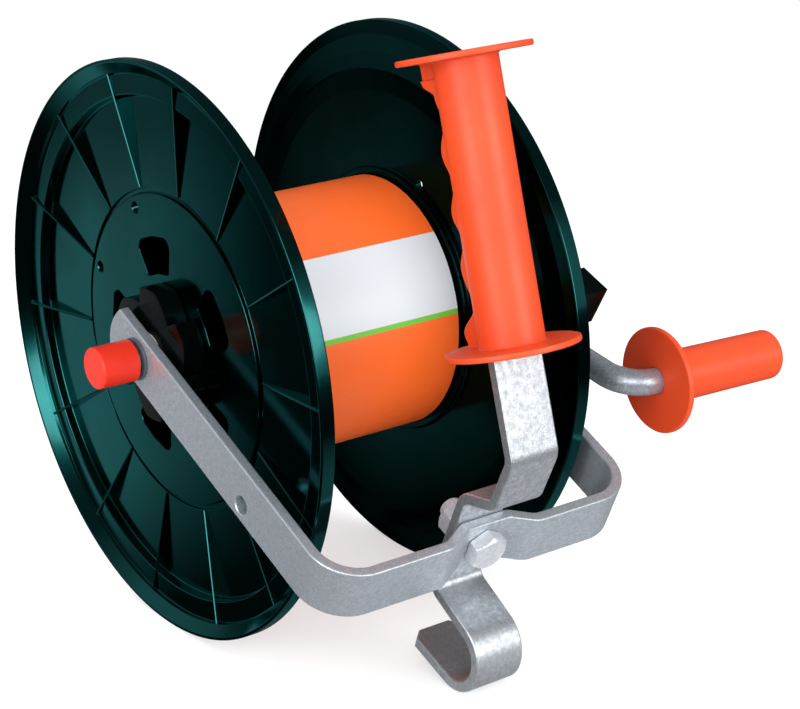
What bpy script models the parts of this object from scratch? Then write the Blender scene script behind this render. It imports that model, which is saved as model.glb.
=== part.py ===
"""Hand reel for electric fence wire: spool, flat steel frame with grip and hook, crank and ratchet.

The reel is drawn about its axle, which runs along X. The handle side is -Y, up is +Z, and
the crank is at +X. It stands on both spool rims and on the hook. All sizes are in metres.
"""

import math

import bmesh
import bpy
from mathutils import Matrix, Vector

# General: the axle's place when the outer box is centred over the origin
REEL_PLACE = (-0.0421, 0.02842, 0.13002)
GAP = 0.0003
AXLE_RADIUS = 0.006
AXLE_BORE = 0.00635

# Spool side discs: distances from the middle plane, radii from the axle
SPOOL_RADIUS = 0.130
RIM_INNER_X = 0.0638
RIM_OUTER_X = 0.0707
WEB_INNER_X = 0.0580
WEB_OUTER_X = 0.0606
DISC_OUTER_X = 0.0613
GROOVE_RADII = (0.0702, 0.0728)
GROOVE_X = 0.0594
STEP_X = 0.0648
STEP_RADIUS = 0.1138
LIP_RADIUS = 0.1238
LIP_X = 0.0663
HUB_SEAT_RADIUS = 0.0203
FOOT_RADII = (0.0598, 0.0626)
FOOT_X = 0.0550
RIM_SIDES = 72

RIB_COUNT = 14
RIB_PHASE = -9.5
RIB_THICKNESS = 0.0012
WINDOW_COUNT = 5
WINDOW_PHASE = 13.4
WINDOW_RADII = (0.0345, 0.0510)
WINDOW_ANGLES = (30.5, 34.0)
WINDOW_CORNERS = (0.0020, 0.0035)
CORNER_MIDDLE = 1 - math.cos(math.radians(45))
TIE_HOLE_ANGLES = (22.7, 67.7)
TIE_HOLE_CIRCLE = 0.065
TIE_HOLE_RADIUS = 0.0025

# Drum and its label
DRUM_RADIUS = 0.0586
DRUM_WALL = 0.0022
LABEL_THICKNESS = 0.0005
LABEL_HALF_WIDTH = 0.0535

# Ratchet hubs
TOOTH_COUNT = 6
TOOTH_PHASE = 12.0
TOOTH_LAND = 25.0
TOOTH_RAMP = 30.0
TOOTH_TIP_RADIUS = 0.0305
TOOTH_ROOT_RADIUS = 0.0236
HUB_END_X = 0.0720
HUB_TUBE_RADIUS = 0.012
HUB_SOCKET_X = 0.050
RIGHT_HUB_TURN = -48.0
DRIVE_SLOT = (0.005, 0.024, 0.0046)
DRIVE_PIN_RADIUS = 0.002
DRIVE_PIN_LENGTH = 0.023

# Frame: arm slope, then distances along the arms (reach) and across them
ARM_SLOPE = math.radians(25.1)
BAR_WIDTH = 0.0246
BAR_THICKNESS = 0.005
LEFT_ARM_X = -0.07655
RIGHT_ARM_X = 0.0815
ARM_END_RADIUS = 0.0233
ARM_END_STEPS = 12
CROSS_REACH = 0.1559
RECESS_REACH = 0.14935
RECESS_X = (-0.019, -0.007, 0.016, 0.027)
CORNER_RADIUS = 0.019
JOGGLE_RADII = (0.010, 0.006, 0.004, 0.010)
ARM_HOLE = (0.0915, -0.0048)
ARM_HOLE_RADIUS = 0.0042
PIVOT_HOLE_RADIUS = 0.0025
ARM_FACE_REACH = (0.016, 0.080)
BUSH_SEAT_RADIUS = 0.0084

# Handle strap, in the plane across the axle: corner points (Y, Z) and bend radii
STRAP_X = (-0.0093, 0.0153)
STRAP_CORNERS = (
    (-0.1718, -0.0145, 0.008),
    (-0.1608, -0.0362, 0.0055),
    (-0.1413, -0.0387, 0.007),
)
STRAP_REACH = 0.14405
STRAP_DROP = -0.0277
STRAP_DROP_BEND = 0.0065
HOOK_CENTRE_Y = -0.1335
HOOK_RADIUS = 0.01475
HOOK_START = math.radians(118.2)
HOOK_LOWEST = math.radians(270)
HOOK_END = math.radians(292.6)
HOOK_TAIL = 0.0263
HOOK_CORNER_CUT = 0.004
TANG_WIDTH = 0.017
TANG_LENGTH = 0.088

# Grip, along its own leaning axis
GRIP_FOOT = (-0.16032, 0.0279)
GRIP_LEAN = math.radians(14.8)
GRIP_LENGTH = 0.1207
GRIP_RADIUS = 0.0135
GRIP_DISC_RADIUS = 0.0277
GRIP_DISC_THICKNESS = 0.0025
DISC_CHAMFER = 0.0007
WEB_HALF_WIDTH = 0.006
WEB_EDGE = 0.0025
WEB_STEPS = 28
FINGER_PROFILE = (
    (0.0025, 0.0225),
    (0.0080, 0.0240),
    (0.0190, 0.0147),
    (0.0345, 0.0188),
    (0.0460, 0.0147),
    (0.0570, 0.0188),
    (0.0690, 0.0147),
    (0.0815, 0.0188),
    (0.0945, 0.0144),
    (0.1045, 0.0172),
    (0.1098, 0.0242),
    (0.1125, 0.0255),
    (0.1182, 0.0255),
)

# Clamp bolt, nut and washer
BOLT_X = 0.0038
BOLT_RADIUS = 0.0049
BOLT_HOLE_RADIUS = 0.0053
HEX_RADIUS = 0.00925
HEAD_THICKNESS = 0.0064
WASHER_RADIUS = 0.010
WASHER_THICKNESS = 0.002
NUT_THICKNESS = 0.008
BOLT_STUB = 0.004
WASHER_REACH = STRAP_REACH - BAR_THICKNESS / 2
NUT_REACH = WASHER_REACH - WASHER_THICKNESS - 2 * GAP

# Crank
CRANK_SLOPE = math.radians(10.2)
CRANK_ARM_X = 0.1010
CRANK_THROW = 0.12155
CRANK_BENDS = (0.012, 0.0160)
PIN_SPLAY = math.radians(3.6)
PIN_END = 0.0705
AXLE_END_X = -0.0965
KNOB_START = 0.0161
KNOB_LENGTH = 0.0672
KNOB_DISC_RADIUS = 0.0243
KNOB_DISC_THICKNESS = 0.0029
KNOB_RADIUS = 0.0119
KNOB_TIP_RADIUS = 0.0115
SNAP_RADIUS = 0.0054
SNAP_X = (0.044, 0.047)

# Axle fittings
CAP_RADIUS = 0.0094
CAP_X = (-0.0822, -0.1004)
PUSH_NUT_RADIUS = 0.008
PUSH_NUT_THICKNESS = 0.0012
BUSH_FLANGE_RADIUS = 0.0096
BUSH_FLANGE_THICKNESS = 0.0010
THRUST_RADIUS = 0.0105

# Pawl lever: outline points as (reach along the arm, height across it)
PAWL_PLATE_X = (0.0730, 0.0776)
PAWL_NOSE_X = 0.0640
PAWL_TAB_X = 0.0900
PAWL_BOSS_RADIUS = 0.0085
PAWL_PIN_RADIUS = 0.0035
PAWL_PIN_END_X = 0.0710
PAWL_HEAD_RADIUS = 0.0045
PAWL_NOSE = ((0.0194, 0.0273), (0.0233, 0.0354))
PAWL_HEEL = ((0.0370, 0.0300), (0.0340, 0.0208))
PAWL_TAB = ((0.0791, 0.0729), (0.0960, 0.0738), (0.0939, 0.0537), (0.0795, 0.0537))

# Colours, as linear red, green and blue
BLACK_GREEN = (0.004, 0.016, 0.015)
ORANGE = (0.95, 0.10, 0.035)
LABEL_ORANGE = (0.93, 0.13, 0.02)
STEEL = (0.45, 0.46, 0.48)
BLACK = (0.008, 0.009, 0.010)
NATURAL_NYLON = (0.62, 0.60, 0.54)


def clear_scene():
    """Remove every object, so that the model starts from nothing."""
    for item in list(bpy.data.objects):
        bpy.data.objects.remove(item, do_unlink=True)


def make_material(name, colour, roughness, metallic=0.0):
    """Return a Principled material of one colour."""
    material = bpy.data.materials.new(name)
    material.use_nodes = True
    shader = material.node_tree.nodes["Principled BSDF"]
    shader.inputs["Base Color"].default_value = (*colour, 1.0)
    shader.inputs["Roughness"].default_value = roughness
    shader.inputs["Metallic"].default_value = metallic
    return material


def make_empty(name, parent=None, location=(0, 0, 0), rotation=(0, 0, 0)):
    """Add an empty that carries and turns its children."""
    empty = bpy.data.objects.new(name, None)
    empty.empty_display_size = 0.02
    empty.location = location
    empty.rotation_euler = rotation
    empty.parent = parent
    bpy.context.collection.objects.link(empty)
    return empty


def make_object(name, bm, parent, location=(0, 0, 0), rotation=(0, 0, 0)):
    """Turn a bmesh into a smooth-shaded object below its parent."""
    bmesh.ops.recalc_face_normals(bm, faces=bm.faces)
    mesh = bpy.data.meshes.new(name)
    bm.to_mesh(mesh)
    bm.free()
    mesh.shade_smooth()
    mesh.set_sharp_from_angle(angle=math.radians(30))
    item = bpy.data.objects.new(name, mesh)
    item.location = location
    item.rotation_euler = rotation
    item.parent = parent
    bpy.context.collection.objects.link(item)
    return item


def finish(item, colour, roughness, metallic=0.0):
    """Give a piece its own material."""
    item.data.materials.append(make_material(item.name, colour, roughness, metallic))
    return item


def combine(item, tool, operation):
    """Cut the tool out of the piece, or weld the tool to it, and hide the tool."""
    modifier = item.modifiers.new(tool.name, "BOOLEAN")
    modifier.operation = operation
    modifier.solver = "EXACT"
    modifier.object = tool
    tool.hide_render = True
    tool.display_type = "WIRE"


def polar(radius, degrees):
    """Return (Y, Z) at an angle counted from +Z towards +Y."""
    angle = math.radians(degrees)
    return radius * math.sin(angle), radius * math.cos(angle)


def turned(outline, sides):
    """Return a bmesh of (x, radius) points turned a full circle about the X axis.

    The outline is closed through its own first point. Points on the axis share a vertex.
    """
    bm = bmesh.new()
    first = [bm.verts.new((x, 0.0, radius)) for x, radius in outline]
    edges = [bm.edges.new(pair) for pair in zip(first, first[1:] + first[:1])]
    bmesh.ops.spin(
        bm,
        geom=first + edges,
        cent=(0, 0, 0),
        axis=(1, 0, 0),
        angle=math.tau,
        steps=sides,
        use_merge=True,
    )
    bmesh.ops.remove_doubles(bm, verts=bm.verts, dist=0.000001)
    loose = [edge for edge in bm.edges if not edge.link_faces]
    bmesh.ops.delete(bm, geom=loose, context="EDGES")
    return bm


def tube_outline(start, end, inner, outer):
    """Return the turned outline of a plain tube or washer."""
    return [(start, inner), (start, outer), (end, outer), (end, inner)]


def prism(points, direction):
    """Return a bmesh of a flat outline of 3D points pushed along a direction."""
    bm = bmesh.new()
    face = bm.faces.new([bm.verts.new(point) for point in points])
    pushed = bmesh.ops.extrude_face_region(bm, geom=[face])
    verts = [part for part in pushed["geom"] if isinstance(part, bmesh.types.BMVert)]
    bmesh.ops.translate(bm, verts=verts, vec=direction)
    return bm


def gather(pieces):
    """Join several bmeshes into one."""
    whole = bmesh.new()
    for piece in pieces:
        mesh = bpy.data.meshes.new("gathered")
        piece.to_mesh(mesh)
        piece.free()
        whole.from_mesh(mesh)
        bpy.data.meshes.remove(mesh)
    return whole


def rod(start, end, radius, sides=24):
    """Return a bmesh of a plain round rod between two points."""
    start = Vector(start)
    along = Vector(end) - start
    bm = bmesh.new()
    bmesh.ops.create_cone(
        bm,
        cap_ends=True,
        segments=sides,
        radius1=radius,
        radius2=radius,
        depth=along.length,
    )
    turn = Vector((0, 0, 1)).rotation_difference(along).to_matrix()
    bmesh.ops.rotate(bm, verts=bm.verts, cent=(0, 0, 0), matrix=turn)
    bmesh.ops.translate(bm, verts=bm.verts, vec=start + along / 2)
    return bm


def block(low, high):
    """Return a bmesh of a box between two corners."""
    low = Vector(low)
    size = Vector(high) - low
    bm = bmesh.new()
    bmesh.ops.create_cube(bm, size=1.0)
    bmesh.ops.scale(bm, verts=bm.verts, vec=size)
    bmesh.ops.translate(bm, verts=bm.verts, vec=low + size / 2)
    return bm


def fillet(before, corner, after, radius, steps):
    """Return the arc that rounds one corner of a path of 2D points."""
    back = (before - corner).normalized()
    ahead = (after - corner).normalized()
    half = math.acos(max(-1.0, min(1.0, back.dot(ahead)))) / 2
    centre = corner + (back + ahead).normalized() * (radius / math.sin(half))
    first = corner + back * (radius / math.tan(half)) - centre
    last = corner + ahead * (radius / math.tan(half)) - centre
    sweep = first.angle_signed(last)
    turns = [-sweep * step / steps for step in range(steps + 1)]
    return [centre + Matrix.Rotation(turn, 2) @ first for turn in turns]


def rounded_path(points, radii, steps=5):
    """Return a path whose inner corners are rounded by the given radii."""
    points = [Vector(point) for point in points]
    path = [points[0]]
    for index, radius in enumerate(radii, start=1):
        path += fillet(points[index - 1], points[index], points[index + 1], radius, steps)
    path.append(points[-1])
    return path


def thickened(path, thickness):
    """Return the closed outline of a strip that runs along a 2D path."""
    left = []
    right = []
    for index, point in enumerate(path):
        before = path[max(index - 1, 0)]
        after = path[min(index + 1, len(path) - 1)]
        arrive = (point - before).normalized() if index else (after - point).normalized()
        leave = (after - point).normalized() if index < len(path) - 1 else arrive
        along = (arrive + leave).normalized()
        side = Vector((-along.y, along.x)) * (thickness / 2 / along.dot(arrive))
        left.append(point + side)
        right.append(point - side)
    return left + right[::-1]


def side_disc_outline():
    """Return the (x, radius) outline of a side disc, outer side first."""
    return [
        (-WEB_INNER_X, HUB_SEAT_RADIUS),
        (-DISC_OUTER_X, HUB_SEAT_RADIUS),
        (-DISC_OUTER_X, GROOVE_RADII[0]),
        (-GROOVE_X, GROOVE_RADII[0] + 0.0003),
        (-GROOVE_X, GROOVE_RADII[1] - 0.0003),
        (-WEB_OUTER_X, GROOVE_RADII[1]),
        (-WEB_OUTER_X, STEP_RADIUS - 0.0006),
        (-STEP_X, STEP_RADIUS),
        (-STEP_X, LIP_RADIUS - 0.0005),
        (-LIP_X, LIP_RADIUS),
        (-RIM_OUTER_X, SPOOL_RADIUS - 0.0008),
        (-RIM_OUTER_X + 0.0005, SPOOL_RADIUS),
        (-RIM_INNER_X - 0.0008, SPOOL_RADIUS),
        (-RIM_INNER_X, SPOOL_RADIUS - 0.0010),
        (-0.0628, 0.1235),
        (-0.0601, 0.1160),
        (-0.0583, 0.1080),
        (-WEB_INNER_X, 0.1000),
        (-WEB_INNER_X, FOOT_RADII[1]),
        (-FOOT_X, FOOT_RADII[1]),
        (-FOOT_X, FOOT_RADII[0]),
        (-WEB_INNER_X, FOOT_RADII[0]),
    ]


def rib(degrees):
    """Return one radial rib, whose straight top runs from the groove to the lip."""
    profile = [
        (-WEB_OUTER_X + 0.0010, GROOVE_RADII[1] + 0.0004),
        (-DISC_OUTER_X, GROOVE_RADII[1] + 0.0004),
        (-LIP_X, LIP_RADIUS + 0.0004),
        (-STEP_X + 0.0008, LIP_RADIUS + 0.0004),
        (-WEB_OUTER_X + 0.0010, STEP_RADIUS + 0.0006),
    ]
    points = [(x, -RIB_THICKNESS / 2, radius) for x, radius in profile]
    bm = prism(points, (0, RIB_THICKNESS, 0))
    turn = Matrix.Rotation(-math.radians(degrees), 3, "X")
    bmesh.ops.rotate(bm, verts=bm.verts, cent=(0, 0, 0), matrix=turn)
    return bm


def window(degrees):
    """Return the cutter of one window: narrower towards the axle, with rounded corners."""
    outline = []
    for radius, angle, corner, way in zip(WINDOW_RADII, WINDOW_ANGLES, WINDOW_CORNERS, (1, -1)):
        half = angle / 2
        cut = math.degrees(corner / radius)
        side = (radius + way * corner, half)
        bend = (radius + way * corner * CORNER_MIDDLE, half - cut * CORNER_MIDDLE)
        arc = [(radius, (half - cut) * (step / 2 - 1)) for step in range(5)]
        run = [(side[0], -side[1]), (bend[0], -bend[1]), *arc, bend, side]
        outline += [(-DISC_OUTER_X - 0.004, *polar(out, degrees + way * turn)) for out, turn in run]
    return prism(outline, (0.012, 0, 0))


def side_disc(name, parent, rotation):
    """Build one side disc. Both are the same moulding, turned end for end."""
    disc = make_object(name, turned(side_disc_outline(), RIM_SIDES), parent, rotation=rotation)
    ribs = gather([rib(RIB_PHASE + 360 / RIB_COUNT * index) for index in range(RIB_COUNT)])
    combine(disc, make_object(name + "_ribs", ribs, disc), "UNION")
    cutters = [window(WINDOW_PHASE + 360 / WINDOW_COUNT * index) for index in range(WINDOW_COUNT)]
    for angle in TIE_HOLE_ANGLES:
        start = (-DISC_OUTER_X - 0.004, *polar(TIE_HOLE_CIRCLE, angle))
        end = (-WEB_INNER_X + 0.004, *polar(TIE_HOLE_CIRCLE, angle))
        cutters.append(rod(start, end, TIE_HOLE_RADIUS, 10))
    combine(disc, make_object(name + "_holes", gather(cutters), disc), "DIFFERENCE")
    return finish(disc, BLACK_GREEN, 0.25)


def tooth_radius(degrees):
    """Return the ratchet's radius at an angle: a land, a falling ramp and a steep face."""
    place = (TOOTH_PHASE - degrees) % (360 / TOOTH_COUNT)
    if place <= TOOTH_LAND:
        return TOOTH_TIP_RADIUS
    fall = TOOTH_TIP_RADIUS - TOOTH_ROOT_RADIUS
    if place <= TOOTH_LAND + TOOTH_RAMP:
        return TOOTH_TIP_RADIUS - fall * (place - TOOTH_LAND) / TOOTH_RAMP
    steep = 360 / TOOTH_COUNT - TOOTH_LAND - TOOTH_RAMP
    return TOOTH_ROOT_RADIUS + fall * (place - TOOTH_LAND - TOOTH_RAMP) / steep


def ratchet_hub(name, parent, rotation):
    """Build one hub: a toothed end outside its side disc and a tube that runs to the middle."""
    seat = HUB_SEAT_RADIUS - GAP
    outline = [
        (-HUB_END_X + 0.001, 0),
        (-HUB_END_X + 0.001, seat),
        (-HUB_SOCKET_X, seat),
        (-HUB_SOCKET_X, HUB_TUBE_RADIUS),
        (-GAP / 2, HUB_TUBE_RADIUS),
        (-GAP / 2, 0),
    ]
    hub = make_object(name, turned(outline, 36), parent, rotation=rotation)
    angles = [5 * step + TOOTH_PHASE for step in range(72)]
    teeth = [(-HUB_END_X, *polar(tooth_radius(angle), angle)) for angle in angles]
    ring = prism(teeth, (HUB_END_X - DISC_OUTER_X - GAP, 0, 0))
    combine(hub, make_object(name + "_teeth", ring, hub), "UNION")
    bore = rod((-HUB_END_X - 0.005, 0, 0), (0.005, 0, 0), AXLE_BORE, 32)
    combine(hub, make_object(name + "_bore", bore, hub), "DIFFERENCE")
    depth, length, width = DRIVE_SLOT
    slot = block(
        (-HUB_END_X - 0.005, -length / 2, -width / 2),
        (-HUB_END_X + depth, length / 2, width / 2),
    )
    combine(hub, make_object(name + "_slot", slot, hub), "DIFFERENCE")
    return finish(hub, BLACK_GREEN, 0.25)


def drum_core(parent):
    """Build the drum tube between the side discs."""
    end = WEB_INNER_X - GAP
    outline = tube_outline(-end, end, DRUM_RADIUS - DRUM_WALL, DRUM_RADIUS)
    return finish(make_object("drum_core", turned(outline, 48), parent), BLACK, 0.4)


def drum_label(parent):
    """Build the wrapped label round the drum."""
    inner = DRUM_RADIUS + GAP
    end = LABEL_HALF_WIDTH
    outline = tube_outline(-end, end, inner, inner + LABEL_THICKNESS)
    return finish(make_object("drum_label", turned(outline, 48), parent), LABEL_ORANGE, 0.35)


def bar_path():
    """Return the bar's middle line as (x, -reach) points, from arm end to arm end."""
    corners = [
        (LEFT_ARM_X, ARM_END_RADIUS + BAR_THICKNESS),
        (LEFT_ARM_X, -CROSS_REACH),
        (RECESS_X[0], -CROSS_REACH),
        (RECESS_X[1], -RECESS_REACH),
        (RECESS_X[2], -RECESS_REACH),
        (RECESS_X[3], -CROSS_REACH),
        (RIGHT_ARM_X, -CROSS_REACH),
        (RIGHT_ARM_X, ARM_END_RADIUS + BAR_THICKNESS),
    ]
    radii = [CORNER_RADIUS, *JOGGLE_RADII, CORNER_RADIUS]
    path = rounded_path(corners, radii)
    left = [Vector((LEFT_ARM_X, -reach)) for reach in ARM_FACE_REACH]
    right = [Vector((RIGHT_ARM_X, -reach)) for reach in reversed(ARM_FACE_REACH)]
    return [path[0], *left, *path[1:-1], *right, path[-1]]


def arm_end(x):
    """Return the cutter that curves an arm's end to an arc about the axle."""
    half = 1.2 * math.asin(BAR_WIDTH / 2 / ARM_END_RADIUS)
    turns = [half * (2 * step / ARM_END_STEPS - 1) for step in range(ARM_END_STEPS + 1)]
    start = x - BAR_THICKNESS
    arc = [(start, ARM_END_RADIUS * math.cos(turn), ARM_END_RADIUS * math.sin(turn)) for turn in turns]
    outer = [(start, 2 * ARM_END_RADIUS, side * BAR_WIDTH) for side in (1, -1)]
    return prism(arc + outer, (2 * BAR_THICKNESS, 0, 0))


def frame_bar(parent):
    """Build the U-shaped flat bar, with its recessed middle and its holes."""
    outline = thickened(bar_path(), BAR_THICKNESS)
    points = [(point.x, point.y, -BAR_WIDTH / 2) for point in outline]
    bm = prism(points, (0, 0, BAR_WIDTH))
    bar = make_object("frame_bar", bm, parent)
    over = BAR_THICKNESS
    holes = [rod((BOLT_X, -RECESS_REACH - over, 0), (BOLT_X, -RECESS_REACH + over, 0), BOLT_HOLE_RADIUS)]
    reach, height = ARM_HOLE
    for x, radius in ((LEFT_ARM_X, ARM_HOLE_RADIUS), (RIGHT_ARM_X, PIVOT_HOLE_RADIUS)):
        holes.append(rod((x - over, 0, 0), (x + over, 0, 0), BUSH_SEAT_RADIUS, 32))
        holes.append(rod((x - over, -reach, height), (x + over, -reach, height), radius, 20))
        holes.append(arm_end(x))
    combine(bar, make_object("frame_bar_holes", gather(holes), parent), "DIFFERENCE")
    return finish(bar, STEEL, 0.45, 1.0)


def strap_path():
    """Return the strap's middle line as (Y, Z) points, from inside the grip to the hook's tip."""
    lean = Vector((math.sin(GRIP_LEAN), math.cos(GRIP_LEAN)))
    foot = Vector(GRIP_FOOT)
    along = Vector((-math.cos(ARM_SLOPE), -math.sin(ARM_SLOPE)))
    across = Vector((-math.sin(ARM_SLOPE), math.cos(ARM_SLOPE)))
    drop = along * STRAP_REACH + across * STRAP_DROP
    centre = Vector((HOOK_CENTRE_Y, HOOK_RADIUS + BAR_THICKNESS / 2 - SPOOL_RADIUS))
    corners = [foot + lean * TANG_LENGTH, *[corner[:2] for corner in STRAP_CORNERS], drop]
    turns = [HOOK_START + (HOOK_LOWEST - HOOK_START) * step / 10 for step in range(10)]
    turns += [HOOK_LOWEST + (HOOK_END - HOOK_LOWEST) * step / 2 for step in range(3)]
    curl = [centre + HOOK_RADIUS * Vector((math.cos(turn), math.sin(turn))) for turn in turns]
    radii = [corner[2] for corner in STRAP_CORNERS] + [STRAP_DROP_BEND]
    path = rounded_path([*corners, curl[0]], radii)
    tail = Vector((-math.sin(HOOK_END), math.cos(HOOK_END)))
    return path[:-1] + curl + [curl[-1] + tail * HOOK_TAIL]


def clip_hook_tip(bm, tip):
    """Cut the two corners at the end of the hook."""
    corners = [
        edge
        for edge in bm.edges
        if abs(edge.verts[0].co.x - edge.verts[1].co.x) < GAP
        and all((vert.co.yz - tip).length < BAR_THICKNESS for vert in edge.verts)
    ]
    bmesh.ops.bevel(bm, geom=corners, offset=HOOK_CORNER_CUT, segments=1, affect="EDGES")


def handle_hook_strap(parent, frame):
    """Build the flat strap: tang in the grip, S-bend over the bar, and hook below."""
    path = strap_path()
    low, high = STRAP_X
    outline = [(low, point.x, point.y) for point in thickened(path, BAR_THICKNESS)]
    bm = prism(outline, (high - low, 0, 0))
    clip_hook_tip(bm, path[-1])
    strap = make_object("handle_hook_strap", bm, parent)
    middle = (low + high) / 2
    reach = -STRAP_REACH
    over = BAR_THICKNESS
    hole = rod((BOLT_X, reach - over, 0), (BOLT_X, reach + over, 0), BOLT_HOLE_RADIUS)
    combine(strap, make_object("strap_hole", hole, frame), "DIFFERENCE")
    foot = make_empty("grip_foot", parent, (middle, *GRIP_FOOT), (-GRIP_LEAN, 0, 0))
    cheeks = []
    for side in (-1, 1):
        near, far = sorted((side * TANG_WIDTH / 2, side * BAR_WIDTH))
        cheeks.append(block((near, -BAR_THICKNESS, -GAP), (far, BAR_THICKNESS, TANG_LENGTH + 0.01)))
    combine(strap, make_object("tang_shoulders", gather(cheeks), foot), "DIFFERENCE")
    return finish(strap, STEEL, 0.45, 1.0), foot


def web_reach(height):
    """Return how far the finger web stands out at a height, eased between its turning points."""
    for (low, start), (high, end) in zip(FINGER_PROFILE, FINGER_PROFILE[1:]):
        if height <= high:
            share = (height - low) / (high - low)
            return start + (end - start) * (1 - math.cos(math.pi * share)) / 2
    return FINGER_PROFILE[-1][1]


def finger_web():
    """Return the grip's web: an upright plate with finger waves and rounded outer edges."""
    low = GRIP_DISC_THICKNESS / 2
    high = GRIP_LENGTH - low
    heights = [low + (high - low) * step / WEB_STEPS for step in range(WEB_STEPS + 1)]
    side = [(-WEB_HALF_WIDTH, web_reach(height), height) for height in heights]
    outline = [(-WEB_HALF_WIDTH, 0, low), *side, (-WEB_HALF_WIDTH, 0, high)]
    bm = prism(outline, (2 * WEB_HALF_WIDTH, 0, 0))
    crests = [
        edge
        for edge in bm.edges
        if abs(edge.verts[0].co.x - edge.verts[1].co.x) < GAP
        and min(vert.co.y for vert in edge.verts) > GRIP_RADIUS
    ]
    bmesh.ops.bevel(bm, geom=crests, offset=WEB_EDGE, segments=3, profile=0.5, affect="EDGES")
    return bm


def handle_grip(foot):
    """Build the moulded grip: round body with a guard disc at each end, and a finger web."""
    outline = [(0, 0)]
    for base, way in ((0, 1), (GRIP_LENGTH, -1)):
        disc = [
            (base, GRIP_DISC_RADIUS - DISC_CHAMFER),
            (base + way * DISC_CHAMFER, GRIP_DISC_RADIUS),
            (base + way * (GRIP_DISC_THICKNESS - DISC_CHAMFER), GRIP_DISC_RADIUS),
            (base + way * GRIP_DISC_THICKNESS, GRIP_DISC_RADIUS - DISC_CHAMFER),
            (base + way * GRIP_DISC_THICKNESS, GRIP_RADIUS),
        ]
        outline += disc[::way]
    outline.append((GRIP_LENGTH, 0))
    body = turned(outline, 36)
    upright = Matrix.Rotation(math.radians(-90), 3, "Y")
    bmesh.ops.rotate(body, verts=body.verts, cent=(0, 0, 0), matrix=upright)
    grip = make_object("handle_grip", body, foot, location=(0, 0, GAP))
    combine(grip, make_object("grip_web", finger_web(), grip), "UNION")
    half = TANG_WIDTH / 2 + GAP
    thin = BAR_THICKNESS / 2 + GAP
    pocket = block((-half, -thin, -0.01), (half, thin, TANG_LENGTH + GAP))
    combine(grip, make_object("grip_pocket", pocket, foot), "DIFFERENCE")
    return finish(grip, ORANGE, 0.5)


def hexagon(name, near, far, parent):
    """Build a hexagon between two reaches along the arms."""
    return make_object(name, rod((BOLT_X, -near, 0), (BOLT_X, -far, 0), HEX_RADIUS, 6), parent)


def clamp_bolt(frame):
    """Build the bolt that holds bar and strap together, its head in the bar's recess."""
    head = RECESS_REACH + BAR_THICKNESS / 2 + GAP
    bolt = hexagon("clamp_bolt", head, head + HEAD_THICKNESS, frame)
    tip = NUT_REACH - NUT_THICKNESS - BOLT_STUB
    shank = rod((BOLT_X, -head - HEAD_THICKNESS / 2, 0), (BOLT_X, -tip, 0), BOLT_RADIUS)
    combine(bolt, make_object("clamp_bolt_shank", shank, frame), "UNION")
    finish(bolt, STEEL, 0.35, 1.0)


def clamp_washer(frame):
    """Build the washer between the strap's back and the nut."""
    ring = turned(tube_outline(0, WASHER_THICKNESS, BOLT_HOLE_RADIUS, WASHER_RADIUS), 24)
    place = (BOLT_X, GAP - WASHER_REACH, 0)
    washer = make_object("clamp_washer", ring, frame, place, (0, 0, math.radians(90)))
    finish(washer, STEEL, 0.35, 1.0)


def clamp_nut(frame):
    """Build the nut on the bolt's back end."""
    nut = hexagon("clamp_nut", NUT_REACH, NUT_REACH - NUT_THICKNESS, frame)
    start = NUT_REACH + NUT_THICKNESS
    end = NUT_REACH - 2 * NUT_THICKNESS
    bore = rod((BOLT_X, -start, 0), (BOLT_X, -end, 0), BOLT_HOLE_RADIUS)
    combine(nut, make_object("clamp_nut_bore", bore, frame), "DIFFERENCE")
    finish(nut, STEEL, 0.35, 1.0)


def bent_round_bar(name, path, radius):
    """Return a bmesh of a round bar with closed ends along a path in the XY plane."""
    curve = bpy.data.curves.new(name, "CURVE")
    curve.dimensions = "3D"
    curve.bevel_depth = radius
    curve.bevel_resolution = 3
    curve.use_fill_caps = True
    spline = curve.splines.new("POLY")
    spline.points.add(len(path) - 1)
    for point, place in zip(spline.points, path):
        point.co = (place.x, place.y, 0, 1)
    line = bpy.data.objects.new(name, curve)
    bpy.context.collection.objects.link(line)
    graph = bpy.context.evaluated_depsgraph_get()
    bm = bmesh.new()
    bm.from_mesh(line.evaluated_get(graph).to_mesh())
    bmesh.ops.remove_doubles(bm, verts=bm.verts, dist=0.000001)
    bpy.data.objects.remove(line, do_unlink=True)
    return bm


def crank_knee():
    """Return the corner between crank arm and knob pin, and the pin's direction."""
    ahead = Vector((math.cos(PIN_SPLAY), -math.sin(PIN_SPLAY)))
    return Vector((CRANK_ARM_X, -CRANK_THROW)), ahead


def drive_pin_rod(half, radius):
    """Return a bmesh along the drive pin's line, in a hub's own axes."""
    x = DRIVE_SLOT[0] - DRIVE_SLOT[2] / 2 - HUB_END_X
    return rod((x, -half, 0), (x, half, 0), radius, 16)


def crank_rod(crank, knob, hub):
    """Build the bent round rod in one plane: axle, crank arm and knob pin."""
    knee, ahead = crank_knee()
    corners = [(AXLE_END_X, 0), (CRANK_ARM_X, 0), knee, knee + ahead * PIN_END]
    path = rounded_path(corners, CRANK_BENDS, steps=6)
    item = make_object("crank_rod", bent_round_bar("crank_line", path, AXLE_RADIUS), crank)
    hole = drive_pin_rod(AXLE_RADIUS * 2, DRIVE_PIN_RADIUS + GAP)
    combine(item, make_object("drive_pin_hole", hole, hub), "DIFFERENCE")
    groove = turned(tube_outline(SNAP_X[0] - GAP, SNAP_X[1] + GAP, SNAP_RADIUS, 0.008), 24)
    combine(item, make_object("snap_groove", groove, knob), "DIFFERENCE")
    finish(item, STEEL, 0.4, 1.0)


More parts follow.
